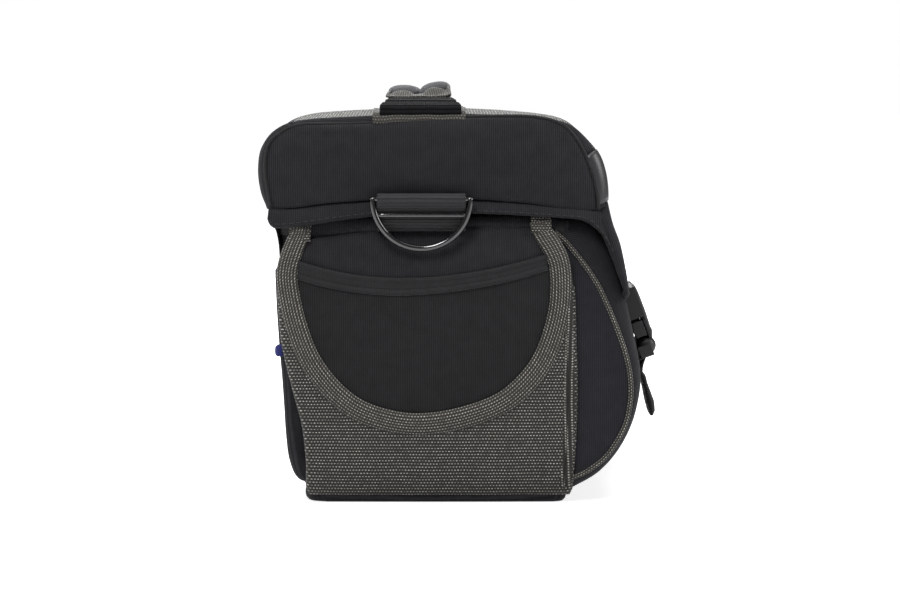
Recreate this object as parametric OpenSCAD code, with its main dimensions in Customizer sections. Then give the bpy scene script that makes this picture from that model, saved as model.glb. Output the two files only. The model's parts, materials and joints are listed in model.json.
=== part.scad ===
// Camera shoulder bag with a padded lid, end pockets, a bulged front pocket and a clip closure.
// Frame: long axis X, front of the bag faces -Y, Z up, left is -X.
// The origin is on the floor under the centre of the main box.

/* [Body] */
// Length of the main box over its end walls
body_len = 234; // [220:2:250]
// Height of the wall panels
wall_h = 124; // [123:0.5:125]
// Depth of the main box at its front wall, measured from the origin
front_y = 60; // [59:0.5:61]
// Thickness of the outer shell panels
shell_t = 2.5; // [1.5:0.1:2.8]
// Thickness of the foam pads inside the shell
foam_t = 6; // [3:0.5:8]
// Thickness of the base panel
base_t = 5; // [3:0.5:5]

/* [Dividers] */
// Thickness of a padded divider
divider_t = 6; // [4:0.5:8]
// Height of a padded divider
divider_h = 92; // [60:1:110]
// Distance of each divider from the middle of the bag
divider_x = 38; // [30:1:50]

/* [Lid] */
// Thickness of the padded top of the lid
lid_top_t = 4; // [3:0.5:5]
// Thickness of the lid's side panels
lid_side_t = 4; // [3:0.25:4]
// Half length of the front flap at its tip
flap_tip = 62; // [40:1:90]

/* [End pocket] */
// Half width of the pocket mouth
pocket_half_w = 55.6; // [50:0.2:57]
// Height of the lowest point of the pocket opening
pocket_low = 39.3; // [30:0.5:60]
// Width of the woven binding round the pocket
binding_w = 7.4; // [5:0.1:7.6]

/* [D-ring] */
// Radius of the ring's bow, to the middle of its section
ring_r = 20.9; // [19.6:0.1:24]
// Diameter of the ring's straight bar
bar_d = 2.8; // [2.4:0.1:2.8]
// Width of the webbing loop
webbing_w = 38; // [30:1:38]

/* [Closure] */
// Tilt of the closure strap from the vertical
strap_tilt = 20; // [18:0.5:22]
// Width of the closure strap
strap_w = 25; // [20:1:25]

/* [Hidden] */
NODES = ["base_panel", "floor_pad", "back_shell", "back_foam", "front_shell", "front_foam",
  "end_shell_left", "end_shell_right", "end_foam_left", "end_foam_right", "divider_left", "divider_right",
  "end_upper_left", "end_upper_right", "end_pocket_left", "end_pocket_right", "pocket_hem_left", "pocket_hem_right",
  "pocket_binding_left", "pocket_binding_right", "end_lower_left", "end_lower_right",
  "d_ring_webbing_left", "d_ring_webbing_right", "d_ring_left", "d_ring_right",
  "front_pocket_face", "front_gusset_left", "front_gusset_right", "front_trim_left", "front_trim_right",
  "zip_tape", "zip_slider", "zip_pull", "back_pocket", "side_tag", "hinge_band",
  "lid_top", "lid_foam", "lid_back", "lid_front", "lid_end_left", "lid_end_right", "lid_hem_left", "lid_hem_right",
  "lid_flap", "lid_overlay", "handle_anchor_left", "handle_anchor_right", "handle_webbing", "handle_grip",
  "buckle_strap", "buckle_receptacle", "buckle_insert", "prong_left", "prong_right", "strap_lower", "strap_tail"];
node = "all";
$fn = 48;
gap = 0.3;                  // clearance between neighbouring panels
half_len = body_len / 2;
mid_y = 5;                  // Y of the middle of the handle and of the D-rings
black = [0.10, 0.10, 0.11];
olive = [0.30, 0.29, 0.25];
grey = [0.25, 0.25, 0.26];
blue = [0.12, 0.14, 0.42];

// ---------- placing and extruding ----------
// Runs a (Y, Z) drawing along X.
module run_x(x0, x1) {
  translate([x0, 0, 0]) rotate([90, 0, 90]) linear_extrude(x1 - x0) children();
}
// Runs a (Y, Z) drawing the length of the box and a bit over (or short, if negative) at each end.
module run_body(over) { run_x(-half_len - over, half_len + over) children(); }
// Runs an (X, Z) drawing along Y.
module run_y(y0, y1) {
  translate([0, y1, 0]) rotate([90, 0, 0]) linear_extrude(y1 - y0) children();
}
// Pieces are drawn at the left end; side 1 mirrors them to the right.
module at_side(side) { if (side > 0) mirror([1, 0, 0]) children(); else children(); }
// Runs a (Y, Z) drawing between two distances outside the end plane of the box.
module end_panel(side, outer, inner) {
  at_side(side) run_x(-half_len - outer, -half_len - inner) children();
}
// Block centred on X = 0.
module mid_box(size, y, z) { translate([-size[0] / 2, y, z]) cube(size); }

// ---------- lines ----------
function unit(v) = v / norm(v);
// Unit normal on the left of the way from start to end.
function left_normal(start, end) = let (dir = unit(end - start)) [-dir[1], dir[0]];
// Mitre vector that moves point i of a line one unit to the left.
function mitre(line, i) =
  let (
    last = len(line) - 1,
    before = left_normal(line[max(i - 1, 0)], line[max(i, 1)]),
    after = left_normal(line[min(i, last - 1)], line[min(i + 1, last)]),
    middle = unit(before + after)
  ) middle / (middle * before);
function shifted(line, dist) = [for (i = [0:len(line) - 1]) line[i] + dist * mitre(line, i)];
function reversed(line) = [for (i = [len(line) - 1:-1:0]) line[i]];
// Outline between a line and its copy shifted to the left (right if negative).
function strip(line, thick) = concat(line, reversed(shifted(line, thick)));
// A line and its mirror image across the vertical axis.
function mirrored(line) = concat(line, reversed([for (p = line) [-p[0], p[1]]]));
// Catmull-Rom curve through the points, three steps a span.
function spline(line, steps = 3) = let (last = len(line) - 1) concat(
  [for (i = [0:last - 1]) for (k = [0:steps - 1])
    let (t = k / steps, p0 = line[max(i - 1, 0)], p1 = line[i], p2 = line[i + 1],
      p3 = line[min(i + 2, last)])
    0.5 * (2 * p1 + (p2 - p0) * t + (2 * p0 - 5 * p1 + 4 * p2 - p3) * t * t
      + (3 * p1 - p0 - 3 * p2 + p3) * t * t * t)],
  [line[last]]);

// ---------- profiles, all as (Y, Z) ----------
// Outer face of the back wall, from the top down.
back_line = spline([[66.8, wall_h], [66.2, 100], [64.6, 55], [62.5, 26], [59.5, 13], [54, 5.4]]);
// Outer face of the front pocket, from the top down.
pocket_line = spline([
  [-70.5, 115.5], [-75, 103], [-79, 92], [-83.5, 80], [-88.5, 68], [-90.6, 57],
  [-90, 46], [-87, 34], [-81, 22.5], [-72, 12.5], [-61.2, 6.6]]);
// Outer face of the lid, from its back edge over the top to its front edge.
lid_line = spline([
  [71.5, 120.5], [72.6, 129], [75, 136], [76, 146], [73.6, 157.5], [67, 165.5],
  [57, 169.5], [0, 172], [-47, 169.6], [-59.5, 167], [-66.5, 160.5], [-71, 154],
  [-74.3, 145], [-75.6, 136], [-75.8, 130.6]]);
// Outer face of the flap, from the lid down to the tip.
flap_line = spline([
  [-75.8, 130.3], [-78, 122], [-80.6, 113], [-83.2, 101], [-84.6, 92], [-85.6, 85.5]]);

// ---------- main box ----------
panel_z = 5.4;              // bottom of the upright panels
foam_top = wall_h - 2;
front_foam_y = -front_y + shell_t + gap;       // outer face of the front foam
inside_y = front_foam_y + foam_t + gap;        // front of the room inside the front foam
back_foam_y = 55.6 - foam_t - 1;               // inner face of the back foam
inside_depth = back_foam_y - gap - inside_y;
base_back_y = 51;
pad_z = 5.3;
pad_t = 5;
pad_back_y = 49;

module base_panel() {
  color(black) mid_box([body_len - 2, base_back_y + front_y - 1, base_t], -front_y + 1, 0);
}
module floor_pad() {
  pad_y = inside_y + 0.4;
  color(grey)
    mid_box([2 * (half_len - shell_t - foam_t - 3 * gap), pad_back_y - pad_y, pad_t], pad_y, pad_z);
}
module back_shell() { color(black) run_body(0) polygon(strip(back_line, -shell_t)); }
module back_foam() {
  color(grey) run_body(-shell_t - gap) polygon([
    [65.9 - shell_t, foam_top], [64.1 - shell_t, 55], [61.2 - shell_t, 26],
    [55.6 - shell_t, 14], [back_foam_y, 14], [back_foam_y, foam_top]]);
}
module front_shell() {
  color(black) mid_box([body_len, shell_t, wall_h - panel_z], -front_y, panel_z);
}
module front_foam() {
  color(grey) mid_box([2 * (half_len - shell_t - gap), foam_t, foam_top - panel_z],
    front_foam_y, panel_z);
}
module end_shell(side) {
  color(black) end_panel(side, 0, -shell_t) polygon([
    [front_foam_y, panel_z], [50.4, panel_z], [55.6, 13.5], [58.6, 26],
    [60.8, 55], [62.8, 100], [63.2, wall_h], [front_foam_y, wall_h]]);
}
module end_foam(side) {
  color(grey) at_side(side) translate([-half_len + shell_t + gap, inside_y, panel_z])
    cube([foam_t, inside_depth, foam_top - panel_z]);
}
module divider(x) {
  slack = 0.6;              // at the front and at the back
  color(grey) translate([x, 0, 0])
    mid_box([divider_t, inside_depth - 2 * slack, divider_h], inside_y + slack, pad_z + pad_t + gap);
}

// ---------- end pocket, one at each end ----------
mouth_y = mid_y - 1;        // middle of the pocket opening
mouth_z = 97;               // where the half ellipse meets the leaning sides

// Edge of the pocket opening, from the back top round the low point to the front top:
// half an ellipse below, sides that lean in above. A positive inset makes it smaller.
function mouth(inset) =
  let (half_w = pocket_half_w - inset, depth = mouth_z - pocket_low - inset) concat(
    [[mouth_y + half_w - 5.4, 115], [mouth_y + half_w - 1, 107]],
    [for (a = [0:9:180]) [mouth_y + half_w * cos(a), mouth_z - depth * sin(a)]],
    [[mouth_y - half_w + 1, 107], [mouth_y - half_w + 5.4, 115]]);
// Parabola sagging to low_z in the middle; reach and step are shares of half_w.
function sag(half_w, low_z, rise, reach, step) =
  [for (a = [-reach:step:reach]) [mouth_y + half_w * a, low_z + rise * a * a]];

// Outline of the woven panel, (Y, Z), from the back top down and round to the front top.
woven_outline = [
  [63.5, 115], [67, 103], [66.2, 85], [64.4, 69], [60, 50], [56, 34.6], [54.2, 19], [54.8, 5.4],
  [-59.6, 5.4], [-61.2, 32], [-61.4, 54], [-61.2, 72], [-60.6, 91], [-59.4, 101.5],
  [-56.6, 111], [-52.5, 115]];
module end_lower(side) {
  color(olive) end_panel(side, 2.6, 0.3) difference() {
    polygon(woven_outline);
    polygon(concat(mouth(0), [[-40, 140], [40, 140]]));
  }
}
module end_pocket(side) {
  color(black) end_panel(side, 4.6, 1.2)
    polygon([for (p = mouth(0.4)) [p[0], min(p[1], mouth_z)]]);
}
module pocket_hem(side) {
  half_w = pocket_half_w - 4.4;
  color(black) end_panel(side, 6.2, 4.8)
    polygon(concat(sag(half_w, 99, 8, 1, 0.1), reversed(sag(half_w, 92.6, 8, 1, 0.1))));
}
module end_upper(side) {
  color(black) end_panel(side, 4.2, 0.3) polygon(concat(
    [[-38, 118.6], [-42, 117]],
    sag(pocket_half_w - 1.4, 99.5, 6, 0.94, 0.094),
    [[50, 116], [46, 118.6]]));
}
module pocket_binding(side) {
  color(olive) end_panel(side, 4.9, 2.8) polygon(strip(mouth(-0.3), binding_w - 0.3));
}

// ---------- D-rings ----------
bar_x = -half_len - 9.05;   // axis of the ring's straight bar
bar_z = 133;

module d_ring_webbing(side) {
  web_x = -half_len - 7.55; // outer face of the upright part
  color(black) at_side(side) translate([0, mid_y - webbing_w / 2, 0]) difference() {
    union() {
      run_y(0, webbing_w) polygon(strip(
        [[-half_len - 0.3, 119.3], [-half_len - 5.4, 119.3], [web_x, 121.5], [web_x, 133.2]], -1.3));
      run_y(0, webbing_w) polygon([[bar_x - 2.7, 132.4], [bar_x + 0.75, 128.2],
        [web_x + 0.15, 127.8], [web_x + 0.15, 129.4], [bar_x - 1, 131.6]]);
      translate([bar_x, 0, bar_z]) rotate([-90, 0, 0]) cylinder(r = 2.8, h = webbing_w);
    }
    translate([bar_x, -1, bar_z]) rotate([-90, 0, 0])
      cylinder(r = bar_d / 2 + 0.06, h = webbing_w + 2);
  }
}
// Bar along Y, stopping short of the bow's middle line at both ends.
module cross_bar(radius, inset) {
  rotate([-90, 0, 0]) translate([0, 0, -ring_r + inset])
    cylinder(r = radius, h = 2 * (ring_r - inset));
}
module ring_section() {
  translate([ring_r, 0]) polygon([
    [-1.3, -0.8], [-0.7, -1.45], [0.7, -1.45], [1.3, -0.8],
    [1.3, 0.8], [0.7, 1.45], [-0.7, 1.45], [-1.3, 0.8]]);
}
module d_ring(side) {
  color(black) at_side(side) translate([bar_x, mid_y, bar_z]) {
    cross_bar(bar_d / 2, 1.2);
    // bow below the bar
    rotate([0, 90, 0]) rotate([0, 0, -90]) rotate_extrude(angle = 180, $fn = 96) ring_section();
    for (s = [-1, 1]) translate([0, s * (ring_r - 0.3), 0]) sphere(r = 1.42);
    translate([0, 0, -6.6]) cross_bar(1.2, 1.6);
  }
}

// ---------- front pocket ----------
gusset_top = 112.3;
slider_at = [-88, -65.4, 118.2];

module front_pocket_face() {
  color(black) run_body(-0.2) union() {
    polygon(strip(pocket_line, 2.4));
    // flange back to the box
    polygon([[-70.6, 115.6], [-60.3, 116.6], [-60.3, 113.8], [-69.8, 112.9]]);
  }
}
module front_gusset(side) {
  color(black) end_panel(side, 0, -2.2) polygon(concat(
    [[-60.4, gusset_top]],
    [for (p = shifted(pocket_line, 5.7)) if (p[0] < -60.5) [p[0], min(p[1], gusset_top)]],
    [[-60.4, 13.2]]));
}
module front_trim(side) {
  color(olive) end_panel(side, 0.2, -2.2) difference() {
    polygon(strip(shifted(pocket_line, 2.7), 2.7));
    translate([-60.3, -10]) square([40, 200]);
    translate([-100, 112.5]) square([60, 30]);
  }
}
module zip_tape() { color(black) mid_box([200, 8, 1.1], -69.4, 117); }
module zip_slider() {
  color(grey) translate(slider_at) {
    mid_box([10, 7, 1.6], -3.5, 0);
    for (x = [-4, 2.4]) translate([x, -1.1, 1.5]) cube([1.6, 2.2, 2.2]);
    mid_box([8, 2.2, 0.9], -1.1, 3.4);
  }
}
module zip_pull() {
  color(grey) translate(slider_at) difference() {
    translate([-0.6, -3, 2.1]) cube([20, 6, 0.9]);
    translate([0.6, -1.5, 0.8]) cube([7.4, 3, 4]);
  }
}

// ---------- back ----------
module back_pocket() {
  color(black) run_body(-6) polygon([
    [66.5, 101], [68.6, 101], [66.9, 55], [64.9, 26],
    [62.8, 16], [60.9, 16.6], [63.0, 26.2], [64.9, 55]]);
}
module side_tag() {
  color(blue) run_x(-half_len + 1, -half_len + 5.6)
    polygon([[65.6, 64], [68.4, 63.4], [68.6, 69.6], [65.8, 69]]);
}
module hinge_band() {
  color(black) run_body(-2) polygon([[67.1, 103], [67.25, 118], [69.6, 117.6], [69.3, 103]]);
}

// ---------- lid ----------
lid_over = 1.5;             // how far the lid's long panels pass the box at each end
lid_end_in = 1.8;           // inner face of the end panels, outside the box
side_top = 156.8;           // top of the front and back panels

// Keeps the part of a (Y, Z) drawing between two heights.
module between_z(low, high) {
  difference() {
    children();
    translate([-120, -50]) square([240, 50 + low]);
    translate([-120, high]) square([240, 200]);
  }
}
module back_half() { square([100, 200]); }
module front_half() { translate([-100, 0]) square([100, 200]); }

module lid_top() {
  color(black) run_body(lid_over) between_z(157, 400) polygon(strip(lid_line, lid_top_t));
}
module lid_back() {
  color(black) run_body(lid_over) difference() {
    intersection() {
      between_z(119, side_top) polygon(strip(lid_line, lid_side_t));
      back_half();
    }
    translate([60, 100]) square([9.4, 21.8]);  // clears the rim of the box as the lid tips back
  }
}
module lid_front() {
  color(black) run_body(lid_over) intersection() {
    between_z(131, side_top) polygon(strip(lid_line, lid_side_t));
    front_half();
  }
}
module lid_foam() {
  color(grey) run_body(1) polygon([
    [64, 158], [60, 162.6], [54, 164.6], [0, 166.8], [-44, 164.6], [-55, 162.4], [-60, 158]]);
}
module lid_end(side) {
  color(black) end_panel(side, 5.5, lid_end_in) between_z(131, 400) polygon(lid_line);
}
module lid_hem(side) {
  color(black) end_panel(side, 5.4, lid_end_in) polygon([
    [72.9, 130.8], [71.6, 121.4], [69.5, 120.4], [60, 121], [40, 124.4], [20, 126.4],
    [0, 126.8], [-25, 126.4], [-46, 125], [-60, 123], [-66, 121.2], [-70, 118.6],
    [-73.4, 121.6], [-75.3, 130.8]]);
}
// Left half of the flap's front outline, (X, Z), from the top down.
flap_outline = [
  [-half_len - 1.6, 140], [-half_len - 1.6, 98], [-half_len + 3, 92.5], [-half_len + 16, 89],
  [-flap_tip - 10, 86.6], [-flap_tip, 85.8]];
module lid_flap() {
  color(black) intersection() {
    run_body(5.4) polygon(strip(flap_line, 3.6));
    run_y(-100, -60) polygon(mirrored(flap_outline));
  }
}
// Thin layer on the outside of the lid's front.
module lid_overlay() {
  color(black) run_body(-4) intersection() {
    between_z(134, 154.6) polygon(strip(shifted(lid_line, -0.2), -1.2));
    front_half();
  }
}

// ---------- handle ----------
anchor_w = 39;
handle_w = 36;
grip_len = 140;

module handle_anchor(side) {
  color(olive) at_side(side) translate([-half_len - 6.4, mid_y - anchor_w / 2, 0]) {
    translate([0, 0, 164]) cube([0.8, anchor_w, 9.2]);
    translate([0, 0, 172.3]) cube([22, anchor_w, 1.2]);
  }
}
module handle_webbing() {
  color(black) run_y(mid_y - handle_w / 2, mid_y + handle_w / 2) polygon(strip(mirrored(
    [[-half_len + 3, 173.8], [-half_len + 1, 177.4], [-half_len + 12, 178]]), -1.6));
}
// Two flattened rolls side by side.
module handle_grip() {
  color(grey) for (s = [-1, 1])
    translate([-grip_len / 2, mid_y + s * 6.6, 181.3]) rotate([0, 90, 0]) intersection() {
      cylinder(r = 6.5, h = grip_len);
      translate([-3, -20, -1]) cube([6, 40, grip_len + 2]);
    }
}

// ---------- closure ----------
// Frame of the closure: local z runs up the strap, local -y points away from the bag.
module closure() { translate([0, -95, 73]) rotate([-strap_tilt, 0, 0]) children(); }
module run_strap() { run_x(-strap_w / 2, strap_w / 2) children(); }

module buckle_strap() {
  color(black) run_strap() polygon([
    [-85.4, 97.6], [-86.0, 92], [-86.2, 89.6], [-88.2, 86.6],
    [-89.4, 87.2], [-87.6, 90.4], [-87.2, 92.4], [-86.6, 97.8]]);
}
module buckle_receptacle() {
  outer_y = -5;             // face away from the bag
  color(black) closure() {
    mid_box([28, 1.6, 26], outer_y, -12);
    mid_box([33, 1.6, 15], outer_y, -1);
    for (s = [-1, 1]) translate([s * 15.5, 0, 0]) mid_box([2, 9, 15], outer_y, -1);
    for (y = [outer_y, 1.4]) mid_box([33, 2.6, 3.8], y, 10.2);
  }
}
module buckle_insert() {
  color(black) closure() difference() {
    union() {
      mid_box([30, 8.4, 12.6], -4, -27);
      mid_box([6, 5, 22], -2.8, -14.6);
    }
    // two strap slots
    for (z = [-24.6, -19.4]) mid_box([26, 12, 2.6], -6, z);
  }
}
module prong(side) {
  color(black) closure() at_side(side) {
    translate([-9.8, -2.4, -14.1]) cube([2.4, 4.4, 19]);
    translate([-15.8, -2.8, -10]) cube([7.2, 5.2, 7.4]);
  }
}
module strap_lower() {
  color(black) run_strap()
    polygon(strip([[-97.4, 51.4], [-94.6, 44], [-92.4, 38.5], [-89.4, 31], [-85.4, 24]], 1.4));
}
module strap_tail() {
  color(black) run_strap() polygon([
    [-100.8, 42.4], [-99.4, 42.8], [-102.2, 32], [-104.8, 24], [-107.0, 24.6], [-104.2, 33]]);
}

// ---------- nodes ----------
function on(name) = node == "all" || node == name;

if (on("base_panel")) base_panel();
if (on("floor_pad")) floor_pad();
if (on("back_shell")) back_shell();
if (on("back_foam")) back_foam();
if (on("front_shell")) front_shell();
if (on("front_foam")) front_foam();
if (on("end_shell_left")) end_shell(-1);
if (on("end_shell_right")) end_shell(1);
if (on("end_foam_left")) end_foam(-1);
if (on("end_foam_right")) end_foam(1);
if (on("divider_left")) divider(-divider_x);
if (on("divider_right")) divider(divider_x);
if (on("end_upper_left")) end_upper(-1);
if (on("end_upper_right")) end_upper(1);
if (on("end_pocket_left")) end_pocket(-1);
if (on("end_pocket_right")) end_pocket(1);
if (on("pocket_hem_left")) pocket_hem(-1);
if (on("pocket_hem_right")) pocket_hem(1);
if (on("pocket_binding_left")) pocket_binding(-1);
if (on("pocket_binding_right")) pocket_binding(1);
if (on("end_lower_left")) end_lower(-1);
if (on("end_lower_right")) end_lower(1);
if (on("d_ring_webbing_left")) d_ring_webbing(-1);
if (on("d_ring_webbing_right")) d_ring_webbing(1);
if (on("d_ring_left")) d_ring(-1);
if (on("d_ring_right")) d_ring(1);
if (on("front_pocket_face")) front_pocket_face();
if (on("front_gusset_left")) front_gusset(-1);
if (on("front_gusset_right")) front_gusset(1);
if (on("front_trim_left")) front_trim(-1);
if (on("front_trim_right")) front_trim(1);
if (on("zip_tape")) zip_tape();
if (on("zip_slider")) zip_slider();
if (on("zip_pull")) zip_pull();
if (on("back_pocket")) back_pocket();
if (on("side_tag")) side_tag();
if (on("hinge_band")) hinge_band();
if (on("lid_top")) lid_top();
if (on("lid_foam")) lid_foam();
if (on("lid_back")) lid_back();
if (on("lid_front")) lid_front();
if (on("lid_end_left")) lid_end(-1);
if (on("lid_end_right")) lid_end(1);
if (on("lid_hem_left")) lid_hem(-1);
if (on("lid_hem_right")) lid_hem(1);
if (on("lid_flap")) lid_flap();
if (on("lid_overlay")) lid_overlay();
if (on("handle_anchor_left")) handle_anchor(-1);
if (on("handle_anchor_right")) handle_anchor(1);
if (on("handle_webbing")) handle_webbing();
if (on("handle_grip")) handle_grip();
if (on("buckle_strap")) buckle_strap();
if (on("buckle_receptacle")) buckle_receptacle();
if (on("buckle_insert")) buckle_insert();
if (on("prong_left")) prong(-1);
if (on("prong_right")) prong(1);
if (on("strap_lower")) strap_lower();
if (on("strap_tail")) strap_tail();
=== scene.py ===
"""Soft padded bag with a hinged lid, a carry handle, two D-rings and a front buckle.

It stands on z = 0 with its length along X and its front towards -Y; "left" is -X.
Sizes are in millimetres, and MM turns them into Blender's metres. Shader lengths are metres.
"""
import bpy, bmesh, json, math
import numpy as np
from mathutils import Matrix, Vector


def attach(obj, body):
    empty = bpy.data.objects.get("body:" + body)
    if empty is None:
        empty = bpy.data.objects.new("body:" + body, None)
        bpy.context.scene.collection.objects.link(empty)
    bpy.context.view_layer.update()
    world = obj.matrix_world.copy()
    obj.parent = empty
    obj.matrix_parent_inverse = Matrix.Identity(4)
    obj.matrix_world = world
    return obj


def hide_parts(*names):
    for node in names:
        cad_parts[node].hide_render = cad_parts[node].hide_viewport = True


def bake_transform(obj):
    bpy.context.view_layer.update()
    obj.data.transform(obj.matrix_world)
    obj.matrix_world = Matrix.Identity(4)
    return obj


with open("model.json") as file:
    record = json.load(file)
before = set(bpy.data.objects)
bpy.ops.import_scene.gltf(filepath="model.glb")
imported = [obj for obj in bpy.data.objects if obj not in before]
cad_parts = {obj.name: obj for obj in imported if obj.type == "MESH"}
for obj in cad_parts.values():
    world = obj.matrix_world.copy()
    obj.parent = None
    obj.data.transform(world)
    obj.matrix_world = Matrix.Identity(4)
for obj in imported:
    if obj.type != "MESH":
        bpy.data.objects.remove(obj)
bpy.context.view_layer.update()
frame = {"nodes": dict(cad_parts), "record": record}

MM = 0.001
HALF_X = 117.0                 # plane of each end, before its padding
LOOP_Y = 5.0                   # middle of the D-rings and of the handle's webbing
RING_X = HALF_X + 9.05         # plane of each D-ring
RING_Z = 133.0                 # centre of the D-ring's bow
SIDES = ((-1, "left"), (1, "right"))
X_AXIS = np.array([1.0, 0, 0])
Y_AXIS = np.array([0, 1.0, 0])


# ------------------------------------------------------------------ materials
class Shader:
    """A material with one Principled surface, and short calls that add nodes to it."""

    def __init__(self, name):
        self.material = bpy.data.materials.new(name)
        self.material.use_nodes = True
        self.tree = self.material.node_tree
        self.tree.nodes.clear()
        output = self.new("OutputMaterial")
        self.surface = self.new("BsdfPrincipled")
        self.feed(output.inputs[0], self.surface.outputs[0])

    def new(self, kind):
        return self.tree.nodes.new("ShaderNode" + kind)

    def feed(self, socket, value):
        """Links a socket, or sets a number or an RGB colour."""
        if isinstance(value, bpy.types.NodeSocket):
            self.tree.links.new(value, socket)
        else:
            socket.default_value = (*value, 1.0) if isinstance(value, tuple) else value

    def set(self, inputs):
        for name, value in inputs.items():
            self.feed(self.surface.inputs[name], value)

    def math(self, operation, *values, clamp=False):
        node = self.new("Math")
        node.operation = operation
        node.use_clamp = clamp
        for socket, value in zip(node.inputs, values):
            self.feed(socket, value)
        return node.outputs[0]

    def add(self, a, b, clamp=False):
        return self.math("ADD", a, b, clamp=clamp)

    def sub(self, a, b):
        return self.math("SUBTRACT", a, b)

    def mul(self, a, b, clamp=False):
        return self.math("MULTIPLY", a, b, clamp=clamp)

    def div(self, a, b, clamp=False):
        return self.math("DIVIDE", a, b, clamp=clamp)

    def scaled(self, value, gain, offset, clamp=False):
        return self.math("MULTIPLY_ADD", value, gain, offset, clamp=clamp)

    def centred(self, noise, amount):
        """Noise swinging about zero."""
        return self.mul(self.sub(noise, 0.5), amount)

    def wave(self, value, period):
        """A sine of the given period, from 0 to 1."""
        return self.scaled(self.math("SINE", self.mul(value, 2 * math.pi / period)), 0.5, 0.5)

    def fabric_uv(self):
        node = self.new("UVMap")
        node.uv_map = "fab"
        split = self.new("SeparateXYZ")
        self.feed(split.inputs[0], node.outputs[0])
        return split.outputs[0], split.outputs[1], node.outputs[0]

    def position(self):
        return self.new("TexCoord").outputs["Object"]

    def noise(self, vector, scale, detail=3.0, rough=0.55):
        node = self.new("TexNoise")
        self.feed(node.inputs["Vector"], vector)
        node.inputs["Scale"].default_value = scale
        node.inputs["Detail"].default_value = detail
        node.inputs["Roughness"].default_value = rough
        return node.outputs["Fac"]

    def cell_random(self, column, row):
        vector = self.new("CombineXYZ")
        for socket, value in zip(vector.inputs, (column, row, 0.0)):
            self.feed(socket, value)
        node = self.new("TexWhiteNoise")
        node.noise_dimensions = "3D"
        self.feed(node.inputs["Vector"], vector.outputs[0])
        return node.outputs["Value"]

    def mix(self, factor, low, high):
        node = self.new("Mix")
        node.data_type = "RGBA"
        for index, value in ((0, factor), (6, low), (7, high)):
            self.feed(node.inputs[index], value)
        return node.outputs[2]

    def bump(self, height, strength, distance):
        node = self.new("Bump")
        node.inputs["Strength"].default_value = strength
        node.inputs["Distance"].default_value = distance
        self.feed(node.inputs["Height"], height)
        return node.outputs[0]


def ribbed(name, base, light, pitch=0.92, across=False, depth=0.00012, rough=0.78, sheen=0.12,
           blotch=0.35, spec=0.28):
    """Ribbed nylon: fine ribs `pitch` mm apart, a weft crossing them, and faint blotches."""
    rib_wander, weft_pitch = 0.0006, 0.62     # metres; share of the rib pitch
    s = Shader(name)
    u, v, uv = s.fabric_uv()
    ribs, wefts = (v, u) if across else (u, v)
    wander = s.noise(uv, scale=60.0, detail=2.0)
    rib = s.wave(s.add(ribs, s.centred(wander, rib_wander)), pitch * MM)
    weft = s.wave(wefts, pitch * weft_pitch * MM)
    big = s.noise(uv, scale=22.0, detail=4.0, rough=0.6)
    fine = s.noise(uv, scale=2600.0, detail=2.0)
    # lightness: uneven ribs, a trace of weft, blotches and speckle
    uneven = s.scaled(s.noise(uv, scale=160.0, detail=2.0), gain=0.75, offset=0.18)
    tone = s.add(s.mul(rib, uneven), s.mul(weft, 0.14))
    tone = s.add(tone, s.centred(big, blotch))
    tone = s.add(tone, s.centred(fine, 0.45), clamp=True)
    color = s.mix(tone, base, light)
    # relief: ribs lead, weft and speckle follow
    height = s.add(s.mul(rib, 1.0), s.mul(weft, 0.3))
    height = s.add(height, s.mul(fine, 0.35))
    s.set({"Base Color": color,
           "Normal": s.bump(height, strength=0.55, distance=depth),
           "Roughness": s.scaled(big, gain=0.16, offset=rough - 0.08),
           "Specular IOR Level": spec, "Sheen Weight": sheen, "Sheen Roughness": 0.45})
    return s.material


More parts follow.
